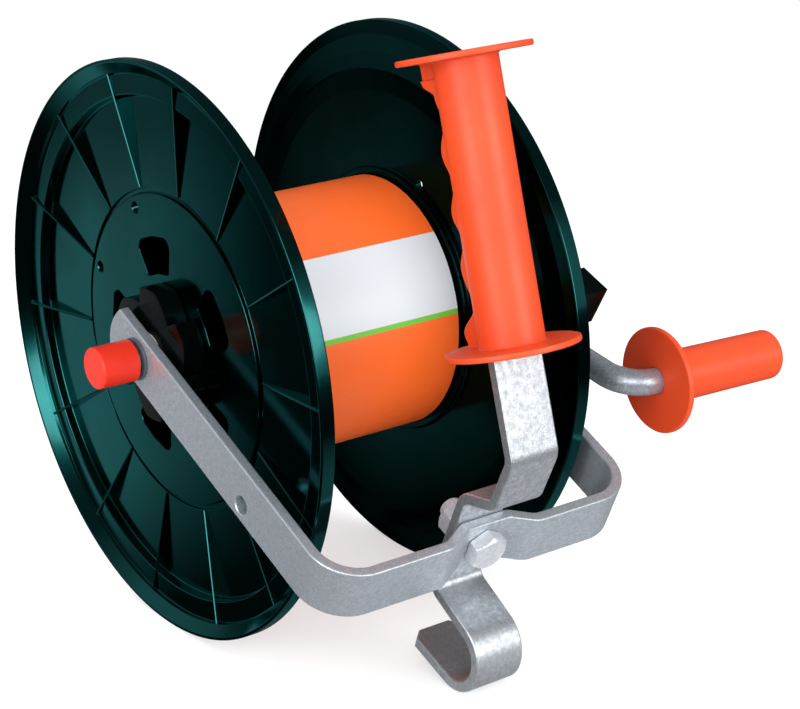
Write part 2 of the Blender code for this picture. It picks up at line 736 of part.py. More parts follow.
def drive_pin(hub):
    """Build the cross pin that sits in the right hub's slot and turns the spool."""
    pin = drive_pin_rod(DRIVE_PIN_LENGTH / 2, DRIVE_PIN_RADIUS)
    finish(make_object("drive_pin", pin, hub), STEEL, 0.3, 1.0)


def crank_knob(knob):
    """Build the turning knob: guard disc, round grip with a domed end, and a blind bore."""
    disc = KNOB_DISC_THICKNESS
    tip = KNOB_LENGTH
    dome = 0.0045
    outline = [
        (0, AXLE_BORE),
        (0, KNOB_DISC_RADIUS - 0.0008),
        (0.0008, KNOB_DISC_RADIUS),
        (disc - 0.0008, KNOB_DISC_RADIUS),
        (disc, KNOB_DISC_RADIUS - 0.0010),
        (disc + 0.0006, KNOB_RADIUS + 0.0020),
        (disc + 0.0026, KNOB_RADIUS),
    ]
    for step in range(5):
        turn = math.radians(90 * step / 4)
        outline.append((tip - dome * (1 - math.sin(turn)), KNOB_TIP_RADIUS - dome * (1 - math.cos(turn))))
    blind = PIN_END - KNOB_START + 0.001
    outline += [
        (tip, 0),
        (blind, 0),
        (blind, AXLE_BORE),
        (SNAP_X[1], AXLE_BORE),
        (SNAP_X[1], SNAP_RADIUS + GAP),
        (SNAP_X[0], SNAP_RADIUS + GAP),
        (SNAP_X[0], AXLE_BORE),
    ]
    finish(make_object("crank_knob", turned(outline, 32), knob), ORANGE, 0.45)


def axle_end_cap(spool):
    """Build the push-on cap over the axle's left end, with room for the push nut."""
    base, tip = CAP_X
    edge = 0.0013
    deep = PUSH_NUT_THICKNESS + 4 * GAP
    outline = [
        (base, PUSH_NUT_RADIUS + GAP),
        (base, CAP_RADIUS - 0.0004),
        (base - 0.0006, CAP_RADIUS),
        (tip + edge, CAP_RADIUS),
        (tip + edge * 0.3, CAP_RADIUS - edge * 0.3),
        (tip, CAP_RADIUS - edge),
        (tip, 0),
        (AXLE_END_X - GAP * 2, 0),
        (AXLE_END_X - GAP * 2, AXLE_BORE),
        (base - deep, AXLE_BORE),
        (base - deep, PUSH_NUT_RADIUS + GAP),
    ]
    finish(make_object("axle_end_cap", turned(outline, 28), spool), ORANGE, 0.45)


def ring_piece(name, parent, x, inner, outer, colour, metallic, place=(0, 0, 0)):
    """Build a plain washer or sleeve between two places along X."""
    ring = turned(tube_outline(*sorted(x), inner, outer), 24)
    finish(make_object(name, ring, parent, place), colour, 0.4, metallic)


def axle_bush(name, frame, arm_x, side):
    """Build a flanged bush in an arm, its flange on the given side."""
    face = arm_x + side * (BAR_THICKNESS / 2 + GAP)
    back = arm_x - side * BAR_THICKNESS / 2
    seat = BUSH_SEAT_RADIUS - GAP
    outline = [
        (back, AXLE_BORE),
        (back, seat),
        (face, seat),
        (face, BUSH_FLANGE_RADIUS),
        (face + side * BUSH_FLANGE_THICKNESS, BUSH_FLANGE_RADIUS),
        (face + side * BUSH_FLANGE_THICKNESS, AXLE_BORE),
    ]
    finish(make_object(name, turned(outline, 24), frame), BLACK, 0.5)


def axle_washers(spool):
    """Build what fills the gaps along the axle: two thrust washers and the push nut."""
    left = (LEFT_ARM_X + BAR_THICKNESS / 2 + GAP, -HUB_END_X - GAP)
    right = (RIGHT_ARM_X - BAR_THICKNESS / 2 - 2 * GAP - BUSH_FLANGE_THICKNESS, HUB_END_X + GAP)
    ring_piece("left_thrust_washer", spool, left, AXLE_BORE, THRUST_RADIUS, NATURAL_NYLON, 0)
    ring_piece("right_thrust_washer", spool, right, AXLE_BORE, THRUST_RADIUS, NATURAL_NYLON, 0)
    nut = (CAP_X[0] - GAP, CAP_X[0] - GAP - PUSH_NUT_THICKNESS)
    ring_piece("axle_push_nut", spool, nut, AXLE_BORE, PUSH_NUT_RADIUS, STEEL, 1)


def pawl_pivot_pin(frame):
    """Build the shouldered pin through the right arm: head outside, shoulder for the lever inside."""
    outer = RIGHT_ARM_X + BAR_THICKNESS / 2 + GAP
    inner = RIGHT_ARM_X - BAR_THICKNESS / 2 - GAP
    shank = PIVOT_HOLE_RADIUS - GAP
    outline = [
        (PAWL_PIN_END_X, 0),
        (PAWL_PIN_END_X, PAWL_PIN_RADIUS),
        (inner, PAWL_PIN_RADIUS),
        (inner, shank),
        (outer, shank),
        (outer, PAWL_HEAD_RADIUS),
        (outer + 0.0010, PAWL_HEAD_RADIUS),
        (outer + 0.0018, PAWL_HEAD_RADIUS * 0.6),
        (outer + 0.0018, 0),
    ]
    reach, height = ARM_HOLE
    pin = make_object("pawl_pivot_pin", turned(outline, 24), frame, (0, -reach, height))
    finish(pin, STEEL, 0.35, 1.0)


def pawl_washers(frame):
    """Build the friction washer and the push nut that hold the lever on its pin."""
    place = (0, -ARM_HOLE[0], ARM_HOLE[1])
    bore = PAWL_PIN_RADIUS + GAP
    outer = RIGHT_ARM_X - BAR_THICKNESS / 2 - GAP
    ring_piece("pawl_spring_washer", frame, (PAWL_PLATE_X[1] + GAP, outer), bore, 0.007, STEEL, 1, place)
    inner = PAWL_PLATE_X[0] - GAP
    ring_piece("pawl_push_nut", frame, (inner, inner - PUSH_NUT_THICKNESS), bore, 0.0065, STEEL, 1, place)


def pawl_outline():
    """Return the lever plate's outline: nose, round boss at the pivot, and thumb tab."""
    reach, height = ARM_HOLE
    boss = []
    for step in range(7):
        turn = math.radians(-110 + 105 * step / 6)
        boss.append((reach + PAWL_BOSS_RADIUS * math.cos(turn), height + PAWL_BOSS_RADIUS * math.sin(turn)))
    tab_back, tab_front, tab_low, tab_low_back = PAWL_TAB
    neck = [(tab_low[0], tab_low[1]), tab_front, tab_back, tab_low_back, (0.0850, 0.0500), (0.0855, 0.0150)]
    return [PAWL_NOSE[0], *boss, *neck, (0.0800, 0.0115), PAWL_NOSE[1]]


def pawl_prism(points, start, end):
    """Return a prism along X over an outline of (reach, height) points, about the pivot."""
    reach, height = ARM_HOLE
    flat = [(start, reach - along, across - height) for along, across in points]
    return prism(flat, (end - start, 0, 0))


def pawl_lever(pawl):
    """Build the ratchet lever: plate, inward nose, outward thumb tab and pivot hole."""
    start, end = PAWL_PLATE_X
    lever = make_object("pawl_lever", pawl_prism(pawl_outline(), start, end), pawl)
    nose = pawl_prism([*PAWL_NOSE, *PAWL_HEEL], PAWL_NOSE_X, end - 0.001)
    combine(lever, make_object("pawl_nose", nose, pawl), "UNION")
    tab = pawl_prism(PAWL_TAB, start + 0.001, PAWL_TAB_X)
    combine(lever, make_object("pawl_tab", tab, pawl), "UNION")
    hole = rod((start - 0.01, 0, 0), (end + 0.01, 0, 0), PAWL_PIN_RADIUS + GAP)
    combine(lever, make_object("pawl_hole", hole, pawl), "DIFFERENCE")
    finish(lever, BLACK, 0.35)


def build_frame(frame):
    """Build the standing pieces: bar, bolt, bushes and the pawl's pin."""
    frame_bar(frame)
    clamp_bolt(frame)
    clamp_washer(frame)
    clamp_nut(frame)
    axle_bush("left_axle_bush", frame, LEFT_ARM_X, -1)
    axle_bush("right_axle_bush", frame, RIGHT_ARM_X, -1)
    pawl_pivot_pin(frame)
    pawl_washers(frame)


def build_spool(spool):
    """Build what turns with the axle, apart from the crank rod and the knob."""
    side_disc("left_flange", spool, (0, 0, 0))
    side_disc("right_flange", spool, (0, 0, math.pi))
    ratchet_hub("left_ratchet_hub", spool, (0, 0, 0))
    hub = ratchet_hub("right_ratchet_hub", spool, (math.radians(RIGHT_HUB_TURN), 0, math.pi))
    drum_core(spool)
    drum_label(spool)
    axle_washers(spool)
    axle_end_cap(spool)
    drive_pin(hub)
    return hub


def build_reel():
    """Build the whole reel, standing on z = 0 with the middle of its outer box over the origin."""
    clear_scene()
    knee, ahead = crank_knee()
    reel = make_empty("reel", location=REEL_PLACE)
    frame = make_empty("frame_axes", reel, rotation=(ARM_SLOPE, 0, 0))
    spool = make_empty("spool_axis", reel)
    crank = make_empty("crank_plane", spool, rotation=(CRANK_SLOPE, 0, 0))
    start = knee + ahead * KNOB_START
    knob = make_empty("knob_axis", crank, (start.x, start.y, 0), (0, 0, -PIN_SPLAY))
    pawl = make_empty("pawl_axis", frame, (0, -ARM_HOLE[0], ARM_HOLE[1]))
    build_frame(frame)
    strap, foot = handle_hook_strap(reel, frame)
    handle_grip(foot)
    hub = build_spool(spool)
    crank_rod(crank, knob, hub)
    crank_knob(knob)
    pawl_lever(pawl)


build_reel()
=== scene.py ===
"""Looks of the hand reel for electric fence wire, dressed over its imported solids.

Lengths are in metres. Shapes are worked out about the axle, which runs along X, and are then
carried to the axle's place. The handle side is -Y and the crank side is +X.
"""

import logging
import math
from dataclasses import dataclass
from enum import Enum
from typing import Optional, Sequence

import bmesh
import bpy
import numpy as np
from mathutils import Matrix, Vector


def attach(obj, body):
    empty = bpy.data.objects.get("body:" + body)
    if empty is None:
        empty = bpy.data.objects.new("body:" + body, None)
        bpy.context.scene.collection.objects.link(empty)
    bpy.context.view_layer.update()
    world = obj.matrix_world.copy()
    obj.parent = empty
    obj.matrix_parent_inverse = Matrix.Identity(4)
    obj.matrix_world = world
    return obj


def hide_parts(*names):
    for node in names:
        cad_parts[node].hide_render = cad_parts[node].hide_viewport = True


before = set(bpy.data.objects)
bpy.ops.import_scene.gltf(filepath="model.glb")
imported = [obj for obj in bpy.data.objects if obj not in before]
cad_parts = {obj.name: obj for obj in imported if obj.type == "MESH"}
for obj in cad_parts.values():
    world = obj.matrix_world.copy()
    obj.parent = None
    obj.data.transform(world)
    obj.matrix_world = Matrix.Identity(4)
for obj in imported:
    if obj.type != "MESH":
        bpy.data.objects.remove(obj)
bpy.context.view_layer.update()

LOG = logging.getLogger("reel")

Pair = tuple[float, float]
Triple = tuple[float, float, float]
Socket = bpy.types.NodeSocket

AXLE_PLACE = np.array((-0.0421, 0.02842, 0.13002))
ARM_SLOPE = math.radians(25.1)
CRANK_SLOPE = math.radians(10.2)
GRIP_LEAN = math.radians(14.8)
GRIP_FOOT = (-0.16032, 0.0279)
GAP = 0.0003
BAR_THICKNESS = 0.005
BAR_WIDTH = 0.0246
ROD_RADIUS = 0.006
ROD_BORE = ROD_RADIUS + 0.00035
SHARP_ANGLE = math.radians(32)
GRAIN_DEPTH = 0.0002
COAT_ROUGHNESS = 0.08

# How far a rounded edge lies inside its corner at its middle, as a share of its radius
MIDWAY = 0.3


class Body(str, Enum):
    """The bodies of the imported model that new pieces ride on."""

    FRAME = "frame"
    SPOOL = "spool"
    KNOB = "knob"


class Ends(Enum):
    """How the two ends of a surface are treated."""

    POLES = "the end rows are single points"
    CAPPED = "the end rows get a flat face"
    JOINED = "the last row meets the first"


class Join(Enum):
    """What is done to a piece with a tool, in the modifier's own words."""

    CUT = "DIFFERENCE"
    WELD = "UNION"


# Shapes


def unit(vectors: np.ndarray) -> np.ndarray:
    """Return the vectors at length one."""
    return vectors / np.maximum(np.linalg.norm(vectors, axis=-1, keepdims=True), 1e-12)


def evenly(start: float, count: int) -> list[float]:
    """Return angles spread evenly round a circle, in degrees."""
    return [start + 360 / count * n for n in range(count)]


def rounded(points: Sequence, radii, steps: int, closed: bool = False) -> np.ndarray:
    """Round the corners of a path of 2D points with true arcs.

    Each corner's centre lies on the bisector at radius / sin(half the corner's angle). With v0
    and v1 from the centre to the arc's ends and f the angle between them, a point of the arc is
    the centre plus (sin((1 - t) f) v0 + sin(t f) v1) / sin f, for t from 0 to 1.

    Args:
        points: The corners.
        radii: One radius for all corners, or one each. An open path's ends have none.
        steps: Pieces in each arc.
        closed: Whether the last corner leads back to the first.

    Returns:
        The rounded path as an array of 2D points.
    """
    corners = np.asarray(points, float)
    radius = np.zeros(len(corners))
    radius[slice(None) if closed else slice(1, -1)] = radii
    back = unit(np.roll(corners, 1, axis=0) - corners)
    ahead = unit(np.roll(corners, -1, axis=0) - corners)
    half = np.arccos(np.clip((back * ahead).sum(1), -1, 1)) / 2
    half = np.clip(half, 1e-3, math.pi / 2 - 1e-4)
    centre = corners + unit(back + ahead) * (radius / np.sin(half))[:, None]
    reach = (radius / np.tan(half))[:, None]
    first = (corners + back * reach - centre)[:, None]
    last = (corners + ahead * reach - centre)[:, None]
    sweep = (math.pi - 2 * half)[:, None, None]
    share = np.linspace(0, 1, steps + 1)[None, :, None]
    arc = (np.sin((1 - share) * sweep) * first + np.sin(share * sweep) * last) / np.sin(sweep)
    arcs = centre[:, None] + arc
    if closed:
        return arcs.reshape(-1, 2)
    return np.concatenate([corners[:1], arcs[1:-1].reshape(-1, 2), corners[-1:]])


def softened(corners: Sequence[Triple], steps: int, closed: bool = False) -> np.ndarray:
    """Return the rounded path of corners that each bring their own radius as a third number."""
    table = np.array(corners)
    return rounded(table[:, :2], table[:, 2] if closed else table[1:-1, 2], steps, closed)


def rings(rows: Sequence[tuple], turn: np.ndarray) -> np.ndarray:
    """Return a grid of rings about one line.

    A point of radius r at the angle a lies at (level, r cos a, r sin a).

    Args:
        rows: A level and a radius for each ring. The radius is one number, or one each angle.
        turn: The angles of a ring's points.

    Returns:
        The grid, one row for each ring.
    """
    radius = np.stack([np.broadcast_to(row[1], turn.shape) for row in rows])
    level = np.broadcast_to(np.array([row[0] for row in rows])[:, None], radius.shape)
    return np.stack([level, radius * np.cos(turn), radius * np.sin(turn)], -1)


def turned(profile: np.ndarray, sides: int) -> np.ndarray:
    """Return a grid of a profile carried round the X axis.

    A point (x, r) at turn a lies at (x, r sin a, r cos a).

    Args:
        profile: Points as (x, radius).
        sides: Steps round the axis.

    Returns:
        The grid, one row for each point of the profile.
    """
    return rings(profile, np.linspace(0, math.tau, sides, endpoint=False))[..., [0, 2, 1]]


def swept(path: np.ndarray, section: np.ndarray, scale: Optional[np.ndarray] = None) -> np.ndarray:
    """Return a grid of a section carried along a flat path.

    The path lies in the plane of the first two coordinates. A section point (n, w) lies n along
    the path's normal and w along the third coordinate, at each point of the path. Normals are
    stretched by one over the cosine of half the turn, and at most to twice their length, so
    that the strip keeps its thickness.

    Args:
        path: Points of the middle line.
        section: Closed outline as (n, w).
        scale: Share of the full width at each point of the path.

    Returns:
        The grid, one row for each point of the path.
    """
    along = unit(np.diff(path, axis=0))
    arrive = np.concatenate([along[:1], along])
    leave = np.concatenate([along, along[-1:]])
    mean = unit(arrive + leave)
    stretch = 1 / np.maximum((mean * arrive).sum(1), 0.5)
    normal = np.stack([-mean[:, 1], mean[:, 0]], axis=1) * stretch[:, None]
    width = np.ones(len(path)) if scale is None else scale
    flat = path[:, None] + normal[:, None] * section[None, :, :1]
    return np.concatenate([flat, (width[:, None] * section[None, :, 1])[..., None]], axis=2)


def box_section(thickness: float, width: float, edge: float, steps: int = 3) -> np.ndarray:
    """Return a rectangle's outline with rounded corners, as (n, w)."""
    n, w = thickness / 2, width / 2
    return rounded([(-n, -w), (n, -w), (n, w), (-n, w)], edge, steps, closed=True)


def spun_about_x(points: np.ndarray, angle: float) -> np.ndarray:
    """Return points turned about X: y becomes y cos a - z sin a, and z y sin a + z cos a.

    Args:
        points: An array whose last axis is x, y and z.
        angle: The turn in radians.

    Returns:
        The turned points.
    """
    x, y, z = np.moveaxis(points, -1, 0)
    cosine, sine = math.cos(angle), math.sin(angle)
    return np.stack([x, y * cosine - z * sine, y * sine + z * cosine], -1)


def spun_about_z(points: np.ndarray, angle: float) -> np.ndarray:
    """Return points turned about Z: x becomes x cos a - y sin a, and y x sin a + y cos a.

    Args:
        points: An array whose last axis is x, y and z.
        angle: The turn in radians.

    Returns:
        The turned points.
    """
    x, y, z = np.moveaxis(points, -1, 0)
    cosine, sine = math.cos(angle), math.sin(angle)
    return np.stack([x * cosine - y * sine, x * sine + y * cosine, z], -1)


def grid_faces(rows: int, columns: int, joined: bool, start: int) -> np.ndarray:
    """Return the quads of a grid whose columns close on themselves.

    The quad at row i and column j has the corners (i, j), (i + 1, j), (i + 1, j + 1) and
    (i, j + 1), counted round the grid where it closes.

    Args:
        rows: Rows of the grid.
        columns: Columns of the grid.
        joined: Whether the last row meets the first.
        start: The number of the grid's first point.

    Returns:
        Four point numbers for each quad.
    """
    i, j = np.meshgrid(np.arange(rows if joined else rows - 1), np.arange(columns), indexing="ij")
    below, right = (i + 1) % rows, (j + 1) % columns
    corners = [i * columns + j, below * columns + j, below * columns + right, i * columns + right]
    return np.stack(corners, -1).reshape(-1, 4) + start


def solid(name: str, grids: Sequence[np.ndarray], ends: Ends) -> bpy.types.Object:
    """Make one object from grids of points about the axle, carried to the axle's place.

    Args:
        name: The object's name.
        grids: Arrays of rows, columns and three coordinates.
        ends: How the first and last rows close.

    Returns:
        The object, smooth-shaded, with its faces pointing out.
    """
    verts, faces, start = [], [], 0
    for grid in grids:
        rows, columns = grid.shape[:2]
        verts.append(grid.reshape(-1, 3) + AXLE_PLACE)
        faces += grid_faces(rows, columns, ends is Ends.JOINED, start).tolist()
        if ends is Ends.CAPPED:
            faces.append(list(range(start, start + columns)))
            faces.append(list(range(start + (rows - 1) * columns, start + rows * columns)))
        start += rows * columns
    mesh = bpy.data.meshes.new(name)
    mesh.from_pydata(np.concatenate(verts).tolist(), [], faces)
    bm = bmesh.new()
    bm.from_mesh(mesh)
    bmesh.ops.remove_doubles(bm, verts=bm.verts, dist=2e-6)
    bmesh.ops.recalc_face_normals(bm, faces=bm.faces)
    bm.to_mesh(mesh)
    bm.free()
    item = bpy.data.objects.new(name, mesh)
    bpy.context.scene.collection.objects.link(item)
    return shade(item)


def shade(item: bpy.types.Object) -> bpy.types.Object:
    """Shade a piece smooth, with its sharp edges kept sharp, and return it."""
    item.data.shade_smooth()
    item.data.set_sharp_from_angle(angle=SHARP_ANGLE)
    return item


def combine(item: bpy.types.Object, tool: bpy.types.Object, join: Join) -> None:
    """Cut a tool out of a piece, or weld it on, and delete the tool.

    Args:
        item: The piece, which gets a new mesh.
        tool: The tool.
        join: Whether the tool is cut out or welded on.
    """
    modifier = item.modifiers.new("shape", "BOOLEAN")
    modifier.operation = join.value
    modifier.solver = "EXACT"
    modifier.object = tool
    graph = bpy.context.evaluated_depsgraph_get()
    mesh = bpy.data.meshes.new_from_object(item.evaluated_get(graph))
    item.modifiers.clear()
    old = item.data
    item.data = mesh
    bpy.data.meshes.remove(old)
    bpy.data.objects.remove(tool, do_unlink=True)
    shade(item)


# Finishes


class Tree:
    """A node tree with short ways to add and join nodes."""

    def __init__(self, tree: bpy.types.NodeTree) -> None:
        """Keep the tree."""
        self.tree = tree

    def put(self, value, target: Socket) -> None:
        """Join a socket to the target, or set the target to a value.

        Args:
            value: A socket, a number or a colour.
            target: The socket that takes it.
        """
        if isinstance(value, bpy.types.NodeSocket):
            self.tree.links.new(value, target)
        elif target.type == "RGBA":
            target.default_value = (*value[:3], 1.0)
        else:
            target.default_value = value

    def give(self, node: bpy.types.Node, values: dict) -> None:
        """Put values into a node's inputs, by name or number."""
        for key, value in values.items():
            self.put(value, node.inputs[key])

    def add(self, kind: str, values: Optional[dict] = None, **settings) -> bpy.types.Node:
        """Add a node.

        Args:
            kind: The node's type name.
            values: Socket values, or the sockets to join, by name or number.
            settings: Settings of the node itself.

        Returns:
            The node.
        """
        node = self.tree.nodes.new(kind)
        for name, value in settings.items():
            setattr(node, name, value)
        self.give(node, values or {})
        return node

    def math(self, operation: str, *values) -> Socket:
        """Return the result of a Math node."""
        return self.add("ShaderNodeMath", dict(enumerate(values)), operation=operation).outputs[0]

    def vector(self, operation: str, first, second=(0.0, 0.0, 0.0)) -> Socket:
        """Return the number that a Vector Math node makes of one or two vectors."""
        node = self.add("ShaderNodeVectorMath", {0: first, 1: second}, operation=operation)
        return node.outputs["Value"]

    def spread(self, value, low, high, start=0.0, end=1.0) -> Socket:
        """Return a value mapped from low..high to start..end, kept in range."""
        given = {"Value": value, "From Min": low, "From Max": high, "To Min": start, "To Max": end}
        return self.add("ShaderNodeMapRange", given).outputs[0]

    def blend(self, share, first, second) -> Socket:
        """Return two colours mixed by a share."""
        return self.add("ShaderNodeMix", {0: share, 6: first, 7: second}, data_type="RGBA").outputs[2]

    def noise(self, place: Socket, scale, detail: float, roughness: float = 0.5) -> Socket:
        """Return a noise value at a place."""
        given = {"Vector": place, "Scale": scale, "Detail": detail, "Roughness": roughness}
        return self.add("ShaderNodeTexNoise", given).outputs[0]


def effect_group(name: str, given: dict, made: dict) -> tuple[Tree, dict, bpy.types.Node]:
    """Start a shader node group.

    Args:
        name: The group's name.
        given: Input names and their default values.
        made: Output names and the kinds of their sockets.

    Returns:
        The group's tree, its input sockets by name and its output node.
    """
    group = bpy.data.node_groups.new(name, "ShaderNodeTree")
    for label, value in given.items():
        kind = "NodeSocketColor" if isinstance(value, tuple) else "NodeSocketFloat"
        group.interface.new_socket(label, in_out="INPUT", socket_type=kind).default_value = value
    for label, kind in made.items():
        group.interface.new_socket(label, in_out="OUTPUT", socket_type=kind)
    tree = Tree(group)
    entry = tree.add("NodeGroupInput")
    return tree, {label: entry.outputs[label] for label in given}, tree.add("NodeGroupOutput")


def make_patina() -> bpy.types.NodeTree:
    """Build the shared effect of uneven colour, uneven gloss and fine grain.

    The colour goes from one tone to the other with three parts of broad and one part of fine
    noise. The gloss follows the broad noise, and the height is the fine noise.

    Returns:
        The node group.
    """
    given = {
        "Colour": (0.5, 0.5, 0.5, 1.0), "Shade": (0.4, 0.4, 0.4, 1.0), "Broad": 30.0, "Fine": 900.0,
        "Smooth": 0.3, "Rough": 0.4,
    }
    made = {"Colour": "NodeSocketColor", "Roughness": "NodeSocketFloat", "Height": "NodeSocketFloat"}
    tree, take, out = effect_group("patina", given, made)
    place = tree.add("ShaderNodeTexCoord").outputs["Object"]
    broad = tree.noise(place, take["Broad"], detail=4.0, roughness=0.55)
    fine = tree.noise(place, take["Fine"], detail=2.0, roughness=0.6)
    both = tree.math("ADD", tree.math("MULTIPLY", broad, 0.75), tree.math("MULTIPLY", fine, 0.25))
    share = tree.spread(both, low=0.36, high=0.64)
    tree.give(out, {
        "Colour": tree.blend(share, take["Colour"], take["Shade"]),
        "Roughness": tree.spread(broad, low=0.3, high=0.7, start=take["Smooth"], end=take["Rough"]),
        "Height": fine,
    })
    return tree.tree


def make_spangle() -> bpy.types.NodeTree:
    """Build the shared effect of zinc crystals: flat cells of one tone each, and bright flecks.

    Returns:
        The node group.
    """
    made = {"Mask": "NodeSocketFloat", "Fleck": "NodeSocketFloat"}
    tree, take, out = effect_group("spangle", {"Cells": 260.0, "Flecks": 1500.0}, made)
    place = tree.add("ShaderNodeTexCoord").outputs["Object"]
    cells = tree.add("ShaderNodeTexVoronoi", {"Vector": place, "Scale": take["Cells"]})
    flecks = tree.noise(place, take["Flecks"], detail=1.0)
    tree.give(out, {
        "Mask": tree.add("ShaderNodeSeparateColor", {0: cells.outputs["Color"]}).outputs[0],
        "Fleck": tree.spread(flecks, low=0.56, high=0.72),
    })
    return tree.tree


PATINA = make_patina()
SPANGLE = make_spangle()


def blank(name: str) -> tuple[bpy.types.Material, Tree, bpy.types.Node]:
    """Return a new material, its tree and its Principled shader."""
    material = bpy.data.materials.new(name)
    material.use_nodes = True
    return material, Tree(material.node_tree), material.node_tree.nodes["Principled BSDF"]


@dataclass(frozen=True)
class Finish:
    """A moulded plastic, and the ground of every other finish: two tones, gloss and grain."""

    name: str
    colour: Triple
    shade: Triple
    gloss: Pair
    grain: float
    broad: float = 30.0
    fine: float = 1100.0
    metal: float = 0.0
    specular: float = 0.5
    tint: Triple = (1.0, 1.0, 1.0)
    coat: float = 0.0

    def toned(self, tree: Tree, tone: Socket) -> Socket:
        """Return the colour that is laid over the uneven tone: here none."""
        return tone

    def material(self) -> bpy.types.Material:
        """Return the material, which is built when it is first asked for.

        Returns:
            The material.
        """
        done = bpy.data.materials.get(self.name)
        if done:
            return done
        material, tree, shader = blank(self.name)
        given = {
            "Colour": self.colour, "Shade": self.shade, "Broad": self.broad, "Fine": self.fine,
            "Smooth": self.gloss[0], "Rough": self.gloss[1],
        }
        patina = tree.add("ShaderNodeGroup", given, node_tree=PATINA).outputs
        grain = {"Strength": self.grain, "Distance": GRAIN_DEPTH, "Height": patina["Height"]}
        tree.give(shader, {
            "Base Color": self.toned(tree, patina["Colour"]),
            "Roughness": patina["Roughness"],
            "Normal": tree.add("ShaderNodeBump", grain).outputs[0],
            "Metallic": self.metal,
            "Specular IOR Level": self.specular,
            "Specular Tint": self.tint,
            "Coat Weight": self.coat,
            "Coat Roughness": COAT_ROUGHNESS,
        })
        return material


@dataclass(frozen=True)
class ZincSteel(Finish):
    """Steel with a zinc skin: matt grey, fine crystals, bright flecks."""

    broad: float = 420.0
    fine: float = 1300.0
    cells: float = 900.0
    cell_share: float = 0.55
    flecks: float = 1500.0
    fleck_share: float = 0.60
    fleck_colour: Triple = (0.88, 0.90, 0.92)

    def toned(self, tree: Tree, tone: Socket) -> Socket:
        """Return the tone with the crystals' shade mixed in, and the flecks mixed in over it.

        Args:
            tree: The material's tree.
            tone: The uneven tone.

        Returns:
            The colour.
        """
        given = {"Cells": self.cells, "Flecks": self.flecks}
        spangle = tree.add("ShaderNodeGroup", given, node_tree=SPANGLE).outputs
        crystals = tree.math("MULTIPLY", spangle["Mask"], self.cell_share)
        flecks = tree.math("MULTIPLY", spangle["Fleck"], self.fleck_share)
        return tree.blend(flecks, tree.blend(crystals, tone, self.shade), self.fleck_colour)


@dataclass(frozen=True)
class Label(Finish):
    """A printed wrap with a pale band and a green line along the axle, and no lettering."""

    pale: Triple = (0.64, 0.665, 0.69)
    pale_band: Pair = (-80.0, -44.6)
    green: Triple = (0.13, 0.50, 0.045)
    green_band: Pair = (-82.3, -80.1)
    blur: float = 0.12

    def band(self, tree: Tree, angle: Socket, limits: Pair) -> Socket:
        """Return a mask that is one between two angles about the axle, with blurred edges.

        Args:
            tree: The material's tree.
            angle: The angle about the axle in degrees.
            limits: The two angles.

        Returns:
            The mask.
        """
        low, high = limits
        above = tree.spread(angle, low - self.blur, low + self.blur)
        below = tree.spread(angle, high - self.blur, high + self.blur, 1.0, 0.0)
        return tree.math("MULTIPLY", above, below)

    def toned(self, tree: Tree, tone: Socket) -> Socket:
        """Return the tone with both bands over it.

        The angle about the axle is the arctangent of y over z, both counted from the axle.

        Args:
            tree: The material's tree.
            tone: The uneven tone.

        Returns:
            The colour.
        """
        place = tree.add("ShaderNodeTexCoord").outputs["Object"]
        parts = tree.add("ShaderNodeSeparateXYZ", {0: place}).outputs
        y = tree.math("SUBTRACT", parts[1], float(AXLE_PLACE[1]))
        z = tree.math("SUBTRACT", parts[2], float(AXLE_PLACE[2]))
        angle = tree.math("MULTIPLY", tree.math("ARCTAN2", y, z), math.degrees(1))
        with_pale = tree.blend(self.band(tree, angle, self.pale_band), tone, self.pale)
        return tree.blend(self.band(tree, angle, self.green_band), with_pale, self.green)


DISC_PLASTIC = Finish(
    "disc_plastic", (0.005, 0.078, 0.075), (0.003, 0.058, 0.055), (0.12, 0.18),
    grain=0.03, broad=22.0, metal=1.0, tint=(0.4, 0.9, 0.9), coat=0.18,
)
# A darker copy of the disc plastic for the faces towards the drum: painted shade between the discs, not a
# different plastic.
DISC_INSIDE_PAINTED_SHADE = Finish(
    "disc_inside_painted_shade", (0.001, 0.020, 0.019), (0.001, 0.014, 0.013), (0.14, 0.22),
    grain=0.03, broad=22.0, metal=1.0, tint=(0.3, 0.6, 0.6), coat=0.05,
)
HUB_PLASTIC = Finish(
    "hub_plastic", (0.0008, 0.0014, 0.0014), (0.0014, 0.0020, 0.0020), (0.10, 0.18),
    grain=0.04, specular=0.10, tint=(0.5, 1.0, 1.0),
)
# The bushes' own plastic, in a slate tone that is painted shadow: it stands for the cap's shadow on the
# arm beside it.
BUSH_PLASTIC_PAINTED_SHADOW = Finish(
    "bush_plastic_painted_shadow", (0.075, 0.085, 0.100), (0.055, 0.062, 0.075), (0.35, 0.5), grain=0.05,
)
ORANGE_PLASTIC = Finish(
    "orange_plastic", (0.67, 0.060, 0.010), (0.62, 0.048, 0.008), (0.36, 0.48),
    grain=0.12, specular=0.35,
)
RED_ORANGE_PLASTIC = Finish(
    "red_orange_plastic", (0.72, 0.030, 0.012), (0.67, 0.024, 0.009), (0.34, 0.46),
    grain=0.10, specular=0.35,
)
NYLON = Finish("natural_nylon", (0.62, 0.60, 0.54), (0.54, 0.52, 0.46), (0.35, 0.5), grain=0.05)
BAR_STEEL = ZincSteel(
    "galvanised_steel", (0.64, 0.68, 0.73), (0.46, 0.50, 0.55), (0.36, 0.52), grain=0.22, metal=0.76,
)
